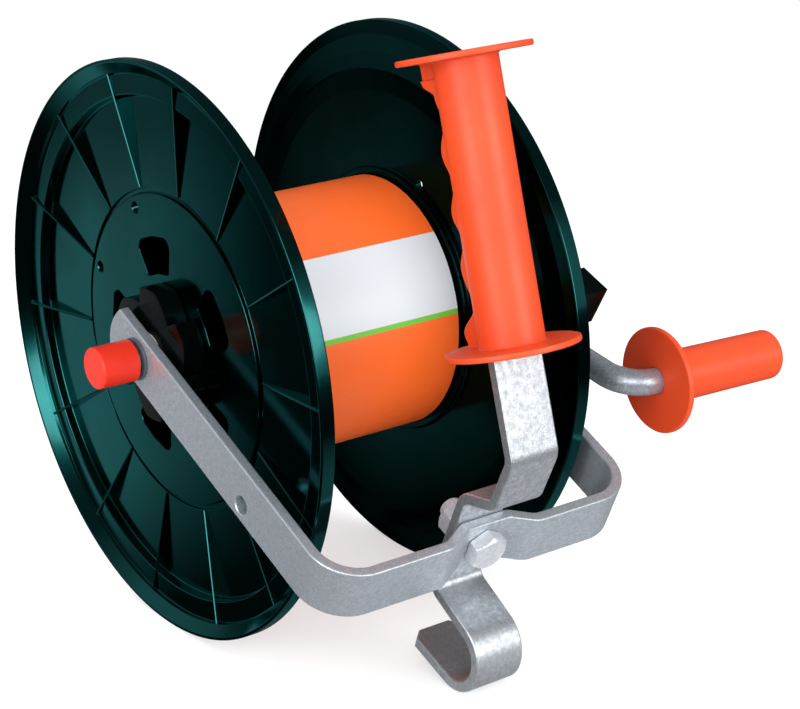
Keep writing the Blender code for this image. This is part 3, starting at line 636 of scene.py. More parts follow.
# The strap's own finer spangle, in a lighter tone than the bar's steel: the lighter tone is painted light
# for the front light that the strap catches.
STRAP_STEEL_PAINTED_LIGHT = ZincSteel(
    "galvanised_strap_painted_light", (0.80, 0.81, 0.83), (0.42, 0.45, 0.49), (0.30, 0.50),
    grain=0.5, metal=0.88, cells=1400.0, flecks=2600.0,
)
ROD_STEEL = ZincSteel(
    "galvanised_rod", (0.52, 0.56, 0.61), (0.36, 0.39, 0.43), (0.30, 0.44), grain=0.16, metal=0.7,
)
PLATED_STEEL = ZincSteel(
    "plated_steel", (0.88, 0.89, 0.91), (0.62, 0.64, 0.68), (0.26, 0.42),
    grain=0.3, metal=0.6, cells=1400.0, flecks=2600.0,
)
PRINTED_LABEL = Label(
    "printed_label", (0.93, 0.135, 0.018), (0.8742, 0.1269, 0.01692), (0.28, 0.36),
    grain=0.03, broad=25.0, fine=800.0,
)


def paint(item: bpy.types.Object, finish: Finish) -> None:
    """Give a piece one finish."""
    item.data.materials.clear()
    item.data.materials.append(finish.material())


def settle(item: bpy.types.Object, body: Body, finish: Finish, node: str) -> None:
    """Dress a new piece, let it ride on its body and stand for its CAD node.

    Args:
        item: The new piece.
        body: The body that it moves with.
        finish: The finish that it gets.
        node: The CAD node that it replaces, which is hidden.
    """
    paint(item, finish)
    even = item.modifiers.new("even_normals", "WEIGHTED_NORMAL")
    even.keep_sharp = True
    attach(item, body.value)
    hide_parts(node)
    LOG.info("%s stands for %s on %s", item.name, node, body.value)


def repaint(finish: Finish, *nodes: str) -> None:
    """Give CAD nodes that stay shown a better finish.

    Args:
        finish: The finish.
        nodes: The nodes' names.
    """
    for node in nodes:
        paint(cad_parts[node], finish)
        LOG.info("%s keeps its solid", node)


# Sub-assemblies


@dataclass
class SideDiscs:
    """The two ribbed plastic discs of the spool, drawn for the left one with X counted outwards."""

    sides: int = 288
    rim_radius: float = 0.130
    rim_inner_x: float = 0.0638
    rim_outer_x: float = 0.0707
    rim_slant: float = 0.0010
    rim_edge: float = 0.0006
    web_inner_x: float = 0.0580
    web_outer_x: float = 0.0606
    disc_outer_x: float = 0.0613
    groove_radii: Pair = (0.0702, 0.0728)
    groove_x: float = 0.0594
    groove_draft: float = 0.0003
    step_x: float = 0.0648
    step_radius: float = 0.1138
    step_draft: float = 0.0006
    lip_x: float = 0.0663
    lip_radius: float = 0.1238
    bell: tuple[Triple, ...] = (
        (0.0628, 0.1235, 0.004), (0.0601, 0.1160, 0.006), (0.0583, 0.1080, 0.010), (0.0580, 0.0985, 0.010),
    )
    hub_seat: float = 0.0203
    foot_x: float = 0.0550
    foot_radii: Pair = (0.0598, 0.0626)
    rib_count: int = 14
    rib_phase: float = -9.5
    rib_thickness: float = 0.0012
    rib_soft: float = 0.0003
    rib_sink: float = 0.0010
    window_count: int = 5
    window_phase: float = 13.4
    window_radii: Pair = (0.0345, 0.0510)
    window_angles: Pair = (30.5, 34.0)
    window_corners: Pair = (0.0022, 0.0038)
    window_mouth: Triple = (0.0004, 0.0003, 0.0026)
    hole_angles: Pair = (22.7, 67.7)
    hole_circle: float = 0.065
    hole_radius: float = 0.0025
    hole_mouth: Triple = (0.0005, 0.0004, 0.0034)
    cutter_x: Pair = (0.050, 0.066)

    def profile(self) -> np.ndarray:
        """Return the disc's closed (x, radius) outline, with every corner a little rounded.

        It runs up the outer side over groove, step and lip to the rim, and down the inner side
        along the bell to the foot that holds the drum. Each corner brings its own rounding.

        Returns:
            The outline.
        """
        groove_in, groove_out = self.groove_radii
        foot_in, foot_out = self.foot_radii
        corners = [
            (self.web_inner_x, self.hub_seat, 0.0002),
            (self.disc_outer_x, self.hub_seat, 0.0003),
            (self.disc_outer_x, groove_in, 0.0004),
            (self.groove_x, groove_in + self.groove_draft, 0.0003),
            (self.groove_x, groove_out - self.groove_draft, 0.0003),
            (self.web_outer_x, groove_out, 0.0003),
            (self.web_outer_x, self.step_radius - self.step_draft, 0.0008),
            (self.step_x, self.step_radius, 0.0007),
            (self.step_x, self.lip_radius - self.step_draft, 0.0005),
            (self.lip_x, self.lip_radius, 0.0006),
            (self.rim_outer_x, self.rim_radius - self.rim_slant, 0.0012),
            (self.rim_outer_x - self.rim_edge, self.rim_radius, 0.0005),
            (self.rim_inner_x, self.rim_radius, 0.0009),
            *self.bell,
            (self.web_inner_x, foot_out, 0.0008),
            (self.foot_x, foot_out, 0.0006),
            (self.foot_x, foot_in, 0.0003),
            (self.web_inner_x, foot_in, 0.0002),
        ]
        return softened(corners, 4, closed=True) * (-1.0, 1.0)

    def levels(self, depth: float, flare: float, far_flare: float) -> np.ndarray:
        """Return the levels of a cutter that goes straight through and flares at the face.

        Args:
            depth: How far under the disc's face the flare starts.
            flare: How much wider the cutter is at the face.
            far_flare: How much wider it is at its outer end.

        Returns:
            The x and the widening of each level.
        """
        start, end = self.cutter_x
        face = -self.disc_outer_x
        return np.array([(-start, 0.0), (face + depth, 0.0), (face, flare), (-end, far_flare)])

    def window_grid(self, degrees: float) -> np.ndarray:
        """Return the cutter of one window.

        The outline is drawn as (arc length, radius) with true round corners, and each point is
        then laid at the angle of its arc length over its radius. Each level is the outline
        pushed out from its middle by that level's flare.

        Args:
            degrees: The angle of the window's middle.

        Returns:
            The cutter's grid.
        """
        inner, outer = self.window_radii
        narrow, wide = np.radians(self.window_angles) / 2 * self.window_radii
        small, large = self.window_corners
        corners = [
            (-narrow, inner, small), (narrow, inner, small), (wide, outer, large), (-wide, outer, large),
        ]
        flat = softened(corners, 6, closed=True)
        middle = (flat + np.roll(flat, -1, axis=0)) / 2
        flat = np.stack([flat, middle], axis=1).reshape(-1, 2)
        turn = flat[:, 0] / flat[:, 1] + math.radians(degrees)
        outline = flat[:, 1:] * np.stack([np.sin(turn), np.cos(turn)], axis=1)
        away = unit(outline - outline.mean(axis=0))
        levels = self.levels(*self.window_mouth)
        ring = outline[None] + away[None] * levels[:, 1, None, None]
        x = np.broadcast_to(levels[:, :1, None], (*ring.shape[:2], 1))
        return np.concatenate([x, ring], axis=2)

    def hole_grid(self, degrees: float) -> np.ndarray:
        """Return the cutter of one small round hole: a tube that flares at the face."""
        angle = math.radians(degrees)
        middle = self.hole_circle * np.array((0.0, math.sin(angle), math.cos(angle)))
        return turned(self.levels(*self.hole_mouth) + (0.0, self.hole_radius), 20) + middle

    def rib_grid(self, degrees: float) -> np.ndarray:
        """Return one rib: a strip whose top runs straight from the inner disc to the lip.

        A row at radius r holds a section whose foot is in the web and whose top lies on the
        line from the inner disc's face to the lip's edge.

        Args:
            degrees: The rib's angle.

        Returns:
            The rib's grid.
        """
        start, soft = self.groove_radii[1], self.rib_soft
        radius = np.array((start + soft, start + 2 * soft, self.step_radius, self.lip_radius + soft))
        share = (radius - start) / (self.lip_radius - start)
        top = self.disc_outer_x + (self.lip_x - self.disc_outer_x) * share
        foot = np.array((*[self.web_outer_x] * 3, self.step_x)) - self.rib_sink
        half = self.rib_thickness / 2
        across = np.array((-half, -half, -half + soft, half - soft, half, half))
        height = np.stack([foot, top - soft, top, top, top - soft, foot], axis=1)
        shape = height.shape
        along = np.broadcast_to(radius[:, None], shape)
        grid = np.stack([-height, np.broadcast_to(across, shape), along], -1)
        return spun_about_x(grid, -math.radians(degrees))

    def build(self) -> None:
        """Build both discs from one moulding, the right one turned end for end."""
        windows = [self.window_grid(angle) for angle in evenly(self.window_phase, self.window_count)]
        holes = [self.hole_grid(angle) for angle in self.hole_angles]
        ribs = [self.rib_grid(angle) for angle in evenly(self.rib_phase, self.rib_count)]
        steps = (("windows", windows, Join.CUT), ("holes", holes, Join.CUT), ("ribs", ribs, Join.WELD))
        for name, turn in (("left_flange", 0.0), ("right_flange", math.pi)):
            ring = spun_about_z(turned(self.profile(), self.sides), turn)
            disc = solid(name + "_disc", [ring], Ends.JOINED)
            for label, grids, join in steps:
                tool = solid(label, [spun_about_z(grid, turn) for grid in grids], Ends.CAPPED)
                combine(disc, tool, join)
            settle(disc, Body.SPOOL, DISC_PLASTIC, name)
            # The faces towards the drum get painted shade: a darker copy of the disc's finish.
            self.paint_inside_shade(disc, math.cos(turn))

    def paint_inside_shade(self, disc: bpy.types.Object, inward: float) -> None:
        """Give the faces that look towards the drum a darker copy of the disc's finish, as painted shade
        between the discs.

        Args:
            disc: The dressed disc.
            inward: One where the drum is at +X of the disc, minus one where it is at -X.
        """
        disc.data.materials.append(DISC_INSIDE_PAINTED_SHADE.material())
        normals = np.empty(len(disc.data.polygons) * 3, np.float32)
        disc.data.polygons.foreach_get("normal", normals)
        # Faces that look towards the drum get the darker copy, which is painted shade.
        inside = (normals.reshape(-1, 3)[:, 0] * inward > 0.5).astype(np.int32)
        disc.data.polygons.foreach_set("material_index", inside)


@dataclass
class Drum:
    """The drum between the discs, with its wrapped label."""

    radius: float = 0.0586
    wall: float = 0.0022
    half_length: float = 0.0577
    edge: float = 0.0003
    label_thickness: float = 0.0005
    label_half: float = 0.0535
    label_edge: float = 0.0001
    sides: int = 192

    def tube(self, half: float, inner: float, outer: float, edge: float) -> np.ndarray:
        """Return a tube as a closed rectangle with soft corners, carried round the axle."""
        corners = [(-half, inner), (-half, outer), (half, outer), (half, inner)]
        return turned(rounded(corners, edge, 3, closed=True), self.sides)

    def build(self) -> None:
        """Build the drum and its label."""
        core = self.tube(self.half_length, self.radius - self.wall, self.radius, self.edge)
        settle(solid("drum_tube", [core], Ends.JOINED), Body.SPOOL, HUB_PLASTIC, "drum_core")
        inner = self.radius + GAP
        wrap = self.tube(self.label_half, inner, inner + self.label_thickness, self.label_edge)
        settle(solid("wrapped_label", [wrap], Ends.JOINED), Body.SPOOL, PRINTED_LABEL, "drum_label")


@dataclass
class RatchetHubs:
    """The toothed hubs outside the discs, drawn for the left one with X counted outwards."""

    tooth_count: int = 6
    phase: float = 12.0
    land: float = 25.0
    ramp: float = 30.0
    tip: float = 0.0305
    root: float = 0.0236
    end_x: float = 0.0720
    foot_x: float = 0.0616
    inner_x: float = 0.050
    edge: float = 0.0005
    seat: float = 0.0200
    tube: float = 0.012
    bore: float = ROD_BORE
    bore_edge: float = 0.0006
    right_turn: float = -48.0
    samples: int = 360

    def tooth_outline(self, turn: np.ndarray) -> np.ndarray:
        """Return the radius at each angle: a land, a falling ramp and a steep face.

        The radius goes straight from corner to corner of a tooth, and is then the mean of
        itself and its two neighbours, which takes the edge off the corners.

        Args:
            turn: Angles in degrees, evenly round the hub.

        Returns:
            The radii.
        """
        pitch = 360 / self.tooth_count
        place = (self.phase - turn) % pitch
        corners = [0, self.land, self.land + self.ramp, pitch]
        raw = np.interp(place, corners, [self.tip, self.tip, self.root, self.tip])
        wrapped = np.concatenate([raw[-1:], raw, raw[:1]])
        return np.convolve(wrapped, np.ones(3) / 3, mode="valid")

    def build(self) -> None:
        """Build both hubs, each one closed surface of rings.

        The rings go from the bore's outer end over the toothed wheel, along the seat in the
        disc and inside the tube back to the bore's inner end.
        """
        turn = np.arange(self.samples) * 360 / self.samples
        teeth, edge = self.tooth_outline(turn), self.edge
        end, foot, inner = -self.end_x, -self.foot_x, -self.inner_x
        rows = [
            (end + self.bore_edge, self.bore), (end, self.bore + self.bore_edge),
            (end, teeth - edge), (end + MIDWAY * edge, teeth - MIDWAY * edge), (end + edge, teeth),
            (foot - edge, teeth), (foot, teeth - edge), (foot, self.seat),
            (inner, self.seat), (inner, self.tube), (-GAP, self.tube), (-GAP, self.bore),
        ]
        grid = rings(rows, np.radians(turn))[..., [0, 2, 1]]
        twisted = spun_about_x(spun_about_z(grid, math.pi), math.radians(self.right_turn))
        for side, surface in (("left", grid), ("right", twisted)):
            hub = solid(side + "_toothed_hub", [surface], Ends.JOINED)
            settle(hub, Body.SPOOL, HUB_PLASTIC, side + "_ratchet_hub")


@dataclass
class SteelFrame:
    """The bent flat bar and the strap with its hook, bolted together."""

    left_arm_x: float = -0.07655
    right_arm_x: float = 0.0815
    end_radius: float = 0.0233
    end_start: float = 0.02
    end_steps: int = 14
    cross: float = 0.1559
    recess: float = 0.14935
    recess_x: tuple[float, ...] = (-0.019, -0.007, 0.016, 0.027)
    corner: float = 0.019
    joggle: tuple[float, ...] = (0.010, 0.006, 0.003, 0.010)
    bush_seat: float = 0.0084
    arm_hole: Pair = (0.0915, -0.0048)
    arm_hole_radii: Pair = (0.0042, 0.0025)
    hole_chamfer: float = 0.0004
    hole_overrun: float = 0.002
    edge: float = 0.0009
    strap_x: Pair = (-0.0093, 0.0153)
    strap_corners: tuple[Triple, ...] = (
        (-0.1718, -0.0145, 0.008), (-0.1608, -0.0362, 0.0055), (-0.1413, -0.0387, 0.007),
    )
    strap_reach: float = 0.14405
    strap_drop: float = -0.0277
    drop_bend: float = 0.0065
    hook_y: float = -0.1335
    hook_radius: float = 0.01475
    hook_turns: Pair = (118.2, 292.6)
    hook_tail: float = 0.0263
    hook_cut: float = 0.004
    floor_drop: float = 0.130
    tang_length: float = 0.088
    tang_width: float = 0.017
    shoulder_drop: float = 0.0003
    shoulder_height: float = 0.0002

    def bar(self) -> bpy.types.Object:
        """Build the bar: a soft-edged rectangle carried along its bends.

        Both ends are arcs about the axle: at a turn a from the arm's line the place along it is
        the end's radius times cos a, and half the width there is the radius times sin a.

        Returns:
            The bar, without its holes.
        """
        left, right = self.left_arm_x, self.right_arm_x
        reach = (self.cross, self.recess, self.recess, self.cross)
        corners = [(left, self.end_radius), (left, -self.cross)]
        corners += [(x, -depth) for x, depth in zip(self.recess_x, reach)]
        corners += [(right, -self.cross), (right, self.end_radius)]
        path = rounded(corners, [self.corner, *self.joggle, self.corner], 12)[1:-1]
        half = BAR_WIDTH / 2
        turn = np.linspace(self.end_start, math.asin(half / self.end_radius), self.end_steps)
        share = self.end_radius * np.sin(turn) / half
        place = self.end_radius * np.cos(turn)
        start = np.stack([np.full_like(place, left), place], axis=1)
        end = np.stack([np.full_like(place, right), place], axis=1)[::-1]
        line = np.concatenate([start, path, end])
        scale = np.concatenate([share, np.ones(len(path)), share[::-1]])
        grid = swept(line, box_section(BAR_THICKNESS, BAR_WIDTH, self.edge), scale)
        return solid("bent_flat_bar", [spun_about_x(grid, ARM_SLOPE)], Ends.CAPPED)

    def flared(self, x: float, radius: float) -> np.ndarray:
        """Return a tube through a plate at x whose mouths widen by a chamfer.

        Args:
            x: The middle of the plate.
            radius: The tube's radius.

        Returns:
            The tube's grid.
        """
        half, soft, over = BAR_THICKNESS / 2, self.hole_chamfer, self.hole_overrun
        mouth = radius + soft + over
        near = [(x - half - over, mouth), (x - half + soft, radius)]
        far = [(x + half - soft, radius), (x + half + over, mouth)]
        return turned(np.array(near + far), 40)

    def bar_holes(self) -> list[np.ndarray]:
        """Return the cutters of the bar's holes: a bush's seat and a smaller hole in each arm."""
        grids = []
        for x, small in zip((self.left_arm_x, self.right_arm_x), self.arm_hole_radii):
            for radius, reach, height in ((self.bush_seat, 0.0, 0.0), (small, *self.arm_hole)):
                grid = self.flared(x, radius) + np.array((0.0, -reach, height))
                grids.append(spun_about_x(grid, ARM_SLOPE))
        return grids

    def strap_path(self) -> np.ndarray:
        """Return the strap's middle line, from inside the grip to the hook's tip.

        The hook is an arc about its centre, and its tail leaves the arc straight.

        Returns:
            Points as (y, z).
        """
        up = np.array((math.sin(GRIP_LEAN), math.cos(GRIP_LEAN)))
        along = np.array((-math.cos(ARM_SLOPE), -math.sin(ARM_SLOPE)))
        across = np.array((-math.sin(ARM_SLOPE), math.cos(ARM_SLOPE)))
        top = np.array(GRIP_FOOT) + up * self.tang_length
        drop = along * self.strap_reach + across * self.strap_drop
        centre = np.array((self.hook_y, self.hook_radius + BAR_THICKNESS / 2 - self.floor_drop))
        turn = np.radians(np.linspace(*self.hook_turns, 33))
        curl = centre + self.hook_radius * np.stack([np.cos(turn), np.sin(turn)], axis=1)
        tail = np.array((-math.sin(turn[-1]), math.cos(turn[-1])))
        bends = [corner[2] for corner in self.strap_corners] + [self.drop_bend]
        corners = [top, *[corner[:2] for corner in self.strap_corners], drop, curl[0]]
        path = rounded(corners, bends, 10)
        cut = curl[-1] + tail * (self.hook_tail - self.hook_cut)
        return np.concatenate([path[:-1], curl, [cut], [curl[-1] + tail * self.hook_tail]])

    def strap(self) -> bpy.types.Object:
        """Build the strap: a soft-edged rectangle carried along its bends.

        It is narrow inside the grip, down to a shoulder at the grip's foot, and the hook's tip
        has both of its corners cut off.

        Returns:
            The strap.
        """
        path = self.strap_path()
        up = np.array((math.sin(GRIP_LEAN), math.cos(GRIP_LEAN)))
        shoulder = np.array(GRIP_FOOT) - up * self.shoulder_drop
        first = np.stack([shoulder + up * self.shoulder_height, shoulder])
        path = np.concatenate([path[:1], first, path[1:]])
        width = self.strap_x[1] - self.strap_x[0]
        scale = np.ones(len(path))
        scale[:2] = self.tang_width / width
        scale[-1] = 1 - 2 * self.hook_cut / width
        grid = swept(path, box_section(BAR_THICKNESS, width, self.edge), scale)
        grid = grid[..., [2, 0, 1]] + np.array((sum(self.strap_x) / 2, 0.0, 0.0))
        return solid("strap_with_hook", [grid], Ends.CAPPED)

    def build(self) -> None:
        """Build bar and strap."""
        bar = self.bar()
        combine(bar, solid("bar_holes", self.bar_holes(), Ends.CAPPED), Join.CUT)
        settle(bar, Body.FRAME, BAR_STEEL, "frame_bar")
        # The strap's lighter tone is painted light for its brighter front lighting.
        settle(self.strap(), Body.FRAME, STRAP_STEEL_PAINTED_LIGHT, "handle_hook_strap")


@dataclass
class ClampBolt:
    """The hexagon bolt and nut that hold bar and strap together."""

    x: float = 0.0038
    hex_radius: float = 0.00925
    head_reach: float = SteelFrame.recess + BAR_THICKNESS / 2 + GAP
    head_height: float = 0.0064
    shank: float = 0.0049
    shank_edge: float = 0.0007
    washer_room: float = 0.0026
    nut_reach: float = SteelFrame.strap_reach - BAR_THICKNESS / 2 - washer_room
    nut_height: float = 0.008
    nut_clearance: float = 0.0004
    nut_edge: float = 0.0008
    stub: float = 0.004
    cone: tuple[Pair, ...] = ((0.0, 0.93), (0.0003, 0.98), (0.0008, 1.05), (0.0012, 1.11), (0.0017, 1.17))
    under: Pair = (0.0004, 1.10)
    dish: Pair = (0.0001, 0.86)
    sides: int = 144

    def piece(self, name: str, rows: Sequence[tuple], ends: Ends, node: str) -> None:
        """Build and dress one piece of rings about the bolt's line.

        Args:
            name: The piece's name.
            rows: The reach along the arms and the radius of each ring.
            ends: How the surface closes.
            node: The CAD node that it replaces.
        """
        grid = rings(rows, np.arange(self.sides) * math.tau / self.sides)[..., [1, 0, 2]]
        grid = grid * (1.0, -1.0, 1.0) + (self.x, 0.0, 0.0)
        settle(solid(name, [spun_about_x(grid, ARM_SLOPE)], ends), Body.FRAME, PLATED_STEEL, node)

    def build(self) -> None:
        """Build the bolt and the nut.

        A hexagon's radius is that of its flats over the cosine of the angle to the nearest
        flat's middle. Its corners are cut by a cone, as on real ones: a row of the cone says
        how far a ring is from the end face, and its greatest radius as a share of the flats'.
        """
        turn = np.arange(self.sides) * math.tau / self.sides
        flat = self.hex_radius * math.cos(math.pi / 6)
        hexagon = flat / np.cos((turn + math.pi / 6) % (math.pi / 3) - math.pi / 6)
        cone = [(drop, np.minimum(hexagon, flat * share)) for drop, share in self.cone]
        near, far = self.head_reach, self.head_reach + self.head_height
        low, high = self.nut_reach - self.nut_height, self.nut_reach
        tip = low - self.stub
        rows = [(tip, 0.0), (tip, self.shank - self.shank_edge), (tip + self.shank_edge, self.shank)]
        rows += [(near, self.shank), (near, np.minimum(hexagon, flat * self.under[1]))]
        rows += [(near + self.under[0], hexagon)]
        rows += [(far - drop, radius) for drop, radius in cone[::-1]]
        rows += [(far - self.dish[0], flat * self.dish[1]), (far - self.dish[0], 0.0)]
        self.piece("hexagon_bolt", rows, Ends.POLES, "clamp_bolt")
        bore, edge = self.shank + self.nut_clearance, self.nut_edge
        rows = [(low + edge, bore), (low, bore + edge)]
        rows += [(low + drop, radius) for drop, radius in cone]
        rows += [(high - drop, radius) for drop, radius in cone[::-1]]
        rows += [(high, bore + edge), (high - edge, bore)]
        self.piece("hexagon_nut", rows, Ends.JOINED, "clamp_nut")


@dataclass
class Grip:
    """The upright moulded grip with a guard disc at each end and finger waves behind."""

    x: float = 0.0030
    length: float = 0.1207
    radius: float = 0.0135
    disc_radius: float = 0.0277
    disc_thickness: float = 0.0025
    disc_edge: float = 0.0007
    disc_ease: float = 0.25
    fillet: float = 0.0012
    fillet_start: float = 0.0001
    web_half: float = 0.006
    web_edge: float = 0.0014
    web_joint: float = 48.0
    notch_start: float = 0.1112
    notch_ease: float = 0.0004
    notch_depth: float = 0.0016
    waves: tuple[Pair, ...] = (
        (0.0025, 0.0225), (0.0080, 0.0240), (0.0190, 0.0147), (0.0345, 0.0188), (0.0460, 0.0147),
        (0.0570, 0.0188), (0.0690, 0.0147), (0.0815, 0.0188), (0.0945, 0.0144), (0.1045, 0.0172),
        (0.1098, 0.0242), (0.1125, 0.0255), (0.1182, 0.0255),
    )
    around: int = 220
    upwards: int = 150

    def web_reach(self, height: np.ndarray) -> np.ndarray:
        """Return how far the finger web stands out: a half cosine between its turning points.

        Args:
            height: Heights above the grip's foot.

        Returns:
            The reach at each height.
        """
        table = np.array(self.waves)
        index = np.clip(np.searchsorted(table[:, 0], height, side="right") - 1, 0, len(table) - 2)
        low, high = table[index], table[index + 1]
        share = np.clip((height - low[:, 0]) / (high[:, 0] - low[:, 0]), 0, 1)
        return low[:, 1] + (high[:, 1] - low[:, 1]) * (1 - np.cos(math.pi * share)) / 2

    def notch(self, height: np.ndarray) -> np.ndarray:
        """Return a mask that is one just under the top disc, where the web is thinner."""
        return np.clip((height - self.notch_start) / self.notch_ease, 0, 1)

    def section(self, height: np.ndarray, turn: np.ndarray) -> np.ndarray:
        """Return the radius at each height and angle: a round body joined to a rounded box.

        With b the ray's length to the foot of the perpendicular from the box corner's centre m,
        the ray meets the corner's arc of radius e at b + sqrt(b^2 - |m|^2 + e^2). Where it
        passes beside the arc, it meets the box's side or front. With the body's radius R and
        the box's r the two join as R (1 + (r / R)^n)^(1 / n), with n high.

        Args:
            height: Heights above the grip's foot.
            turn: Angles from the web's middle.

        Returns:
            The radii, one row for each height.
        """
        reach = self.web_reach(height)[:, None]
        half = self.web_half - self.notch_depth * self.notch(height)[:, None]
        sine = np.abs(np.sin(turn))[None] + 1e-9
        cosine = np.maximum(np.cos(turn), 1e-9)[None]
        e = self.web_edge
        side, front = half / sine, reach / cosine
        along = (half - e) * sine + (reach - e) * cosine
        inside = along ** 2 - (half - e) ** 2 - (reach - e) ** 2 + e ** 2
        corner = along + np.sqrt(np.maximum(inside, 0))
        flat = np.where(front * sine <= half - e, front, corner)
        web = np.where(side * cosine <= reach - e, side, flat)
        web = np.where(np.cos(turn)[None] > 0.05, web, 0.0)
        return self.radius * (1 + (web / self.radius) ** self.web_joint) ** (1 / self.web_joint)

    def build(self) -> None:
        """Build the grip as one grid from its bottom pole to its top pole.

        The angles 0.35 s + 0.65 s^3 of half a turn, for s from -1 to 1, crowd at the web. Both
        guard discs have round edges, and a fillet leads from each to the body.
        """
        share = np.linspace(-1, 1, self.around, endpoint=False)
        turn = math.pi * (0.35 * share + 0.65 * share ** 3)
        thick, top, edge = self.disc_thickness, self.length, self.disc_edge
        around_notch = self.notch_start + np.array((0.0, 0.5, 1.0)) * self.notch_ease
        heights = np.sort(np.append(np.linspace(thick, top - thick, self.upwards), around_notch))
        body = self.section(heights, turn)
        wide, eased, ease = self.disc_radius, self.disc_radius - MIDWAY * edge, self.disc_ease * edge
        disc = [
            (0.0, 0.0), (0.0, wide - edge), (ease, eased), (edge, wide), (thick - edge, wide),
            (thick - ease, eased), (thick, wide - edge),
        ]
        fillet = [(self.fillet_start, self.fillet), (MIDWAY * self.fillet, MIDWAY * self.fillet)]
        rows = disc + [(thick + rise, body[0] + out) for rise, out in fillet]
        rows += zip(heights[1:-1], body[1:-1])
        rows += [(top - thick - rise, body[-1] + out) for rise, out in fillet[::-1]]
        rows += [(top - height, radius) for height, radius in disc[::-1]]
        grid = rings(rows, turn)[..., [2, 1, 0]] + (0.0, 0.0, GAP)
        grid = spun_about_x(grid, -GRIP_LEAN) + np.array((self.x, *GRIP_FOOT))
        item = solid("moulded_grip", [grid], Ends.POLES)
        settle(item, Body.FRAME, ORANGE_PLASTIC, "handle_grip")


@dataclass
class Crank:
    """The bent rod, its turning knob and the cap on the axle's other end."""

    arm_x: float = 0.1010
    throw: float = 0.12155
    bends: Pair = (0.012, 0.0160)
    splay: float = math.radians(3.6)
    pin_end: float = 0.0705
    axle_end_x: float = -0.0965
    knob_start: float = 0.0161
    knob_length: float = 0.0672
    knob_bore_end: float = 0.0552
    knob_disc: float = 0.0243
    knob_disc_thickness: float = 0.0029
    knob_neck: Pair = (0.004, 0.0004)
    knob_radius: float = 0.0119
    knob_tip: float = 0.0115
    cap_x: Pair = (-0.0822, -0.1004)
    cap_radius: float = 0.0094
    cap_draft: float = 0.0001
    cap_play: float = 0.0006

    def rod(self) -> bpy.types.Object:
        """Build the rod: a circle carried along its bends, from the cap to the knob pin's end.

        Returns:
            The rod.
        """
        ahead = np.array((math.cos(self.splay), -math.sin(self.splay)))
        knee = np.array((self.arm_x, -self.throw))
        corners = [(self.axle_end_x, 0.0), (self.arm_x, 0.0), knee, knee + ahead * self.pin_end]
        path = rounded(corners, self.bends, 16)
        turn = np.linspace(0, math.tau, 40, endpoint=False)
        circle = ROD_RADIUS * np.stack([np.cos(turn), np.sin(turn)], axis=1)
        grid = swept(path, circle)
        return solid("bent_round_rod", [spun_about_x(grid, CRANK_SLOPE)], Ends.CAPPED)

    def knob(self) -> bpy.types.Object:
        """Build the knob: a soft-cornered profile with a guard disc, carried round the pin.

        Returns:
            The knob.
        """
        disc, tip = self.knob_disc_thickness, self.knob_length
        neck, flare = self.knob_neck
        corners = [
            (0.0, ROD_BORE, 0.0003), (0.0, self.knob_disc, 0.0010), (disc, self.knob_disc, 0.0010),
            (disc, self.knob_radius + flare, 0.0018), (disc + neck, self.knob_radius, 0.0030),
            (tip, self.knob_tip, 0.0026), (tip, 0.0, 0.0),
        ]
        bore = np.array([(self.knob_bore_end, 0.0), (self.knob_bore_end, ROD_BORE)])
        grid = turned(np.concatenate([bore, softened(corners, 7)]), 96)
        grid = spun_about_z(grid, -self.splay)
        ahead = np.array((math.cos(self.splay), -math.sin(self.splay), 0.0))
        start = np.array((self.arm_x, -self.throw, 0.0)) + ahead * self.knob_start
        return solid("turning_knob", [spun_about_x(grid + start, CRANK_SLOPE)], Ends.POLES)

    def cap(self) -> bpy.types.Object:
        """Build the cap: a soft-cornered profile carried round the axle, open to the frame.

        Returns:
            The cap.
        """
        base, tip = self.cap_x
        floor = self.axle_end_x - self.cap_play
        corners = [
            (floor, 0.0, 0.0), (floor, ROD_BORE, 0.0), (base, ROD_BORE, 0.0002),
            (base, self.cap_radius, 0.0005), (tip, self.cap_radius - self.cap_draft, 0.0012),
            (tip, 0.0, 0.0),
        ]
        return solid("push_on_cap", [turned(softened(corners, 6), 96)], Ends.POLES)

    def build(self) -> None:
        """Build rod, knob and cap."""
        settle(self.rod(), Body.SPOOL, ROD_STEEL, "crank_rod")
        settle(self.knob(), Body.KNOB, ORANGE_PLASTIC, "crank_knob")
        settle(self.cap(), Body.SPOOL, RED_ORANGE_PLASTIC, "axle_end_cap")


@dataclass(frozen=True)
class Glow:
    """A soft bright spot that only mirror rays see, from its middle out to where it ends.

    The reach goes from none of it to all of it: distances on the floor, cosines in the sky.
    """

    middle: Triple
    reach: Pair
    level: float


@dataclass(frozen=True)
class Lamp:
    """A round soft lamp that is turned to the reel."""

    name: str
    place: Triple
    size: float
    power: float

    def hang(self) -> None:
        """Add the lamp to the scene."""
        data = bpy.data.lights.new(self.name, "AREA")
        data.shape = "DISK"
        data.size = self.size
        data.energy = self.power
        item = bpy.data.objects.new(self.name, data)
        item.location = self.place
        way = Vector(AXLE_PLACE) - Vector(self.place)
        item.rotation_euler = way.to_track_quat("-Z", "Y").to_euler()
        bpy.context.scene.collection.objects.link(item)


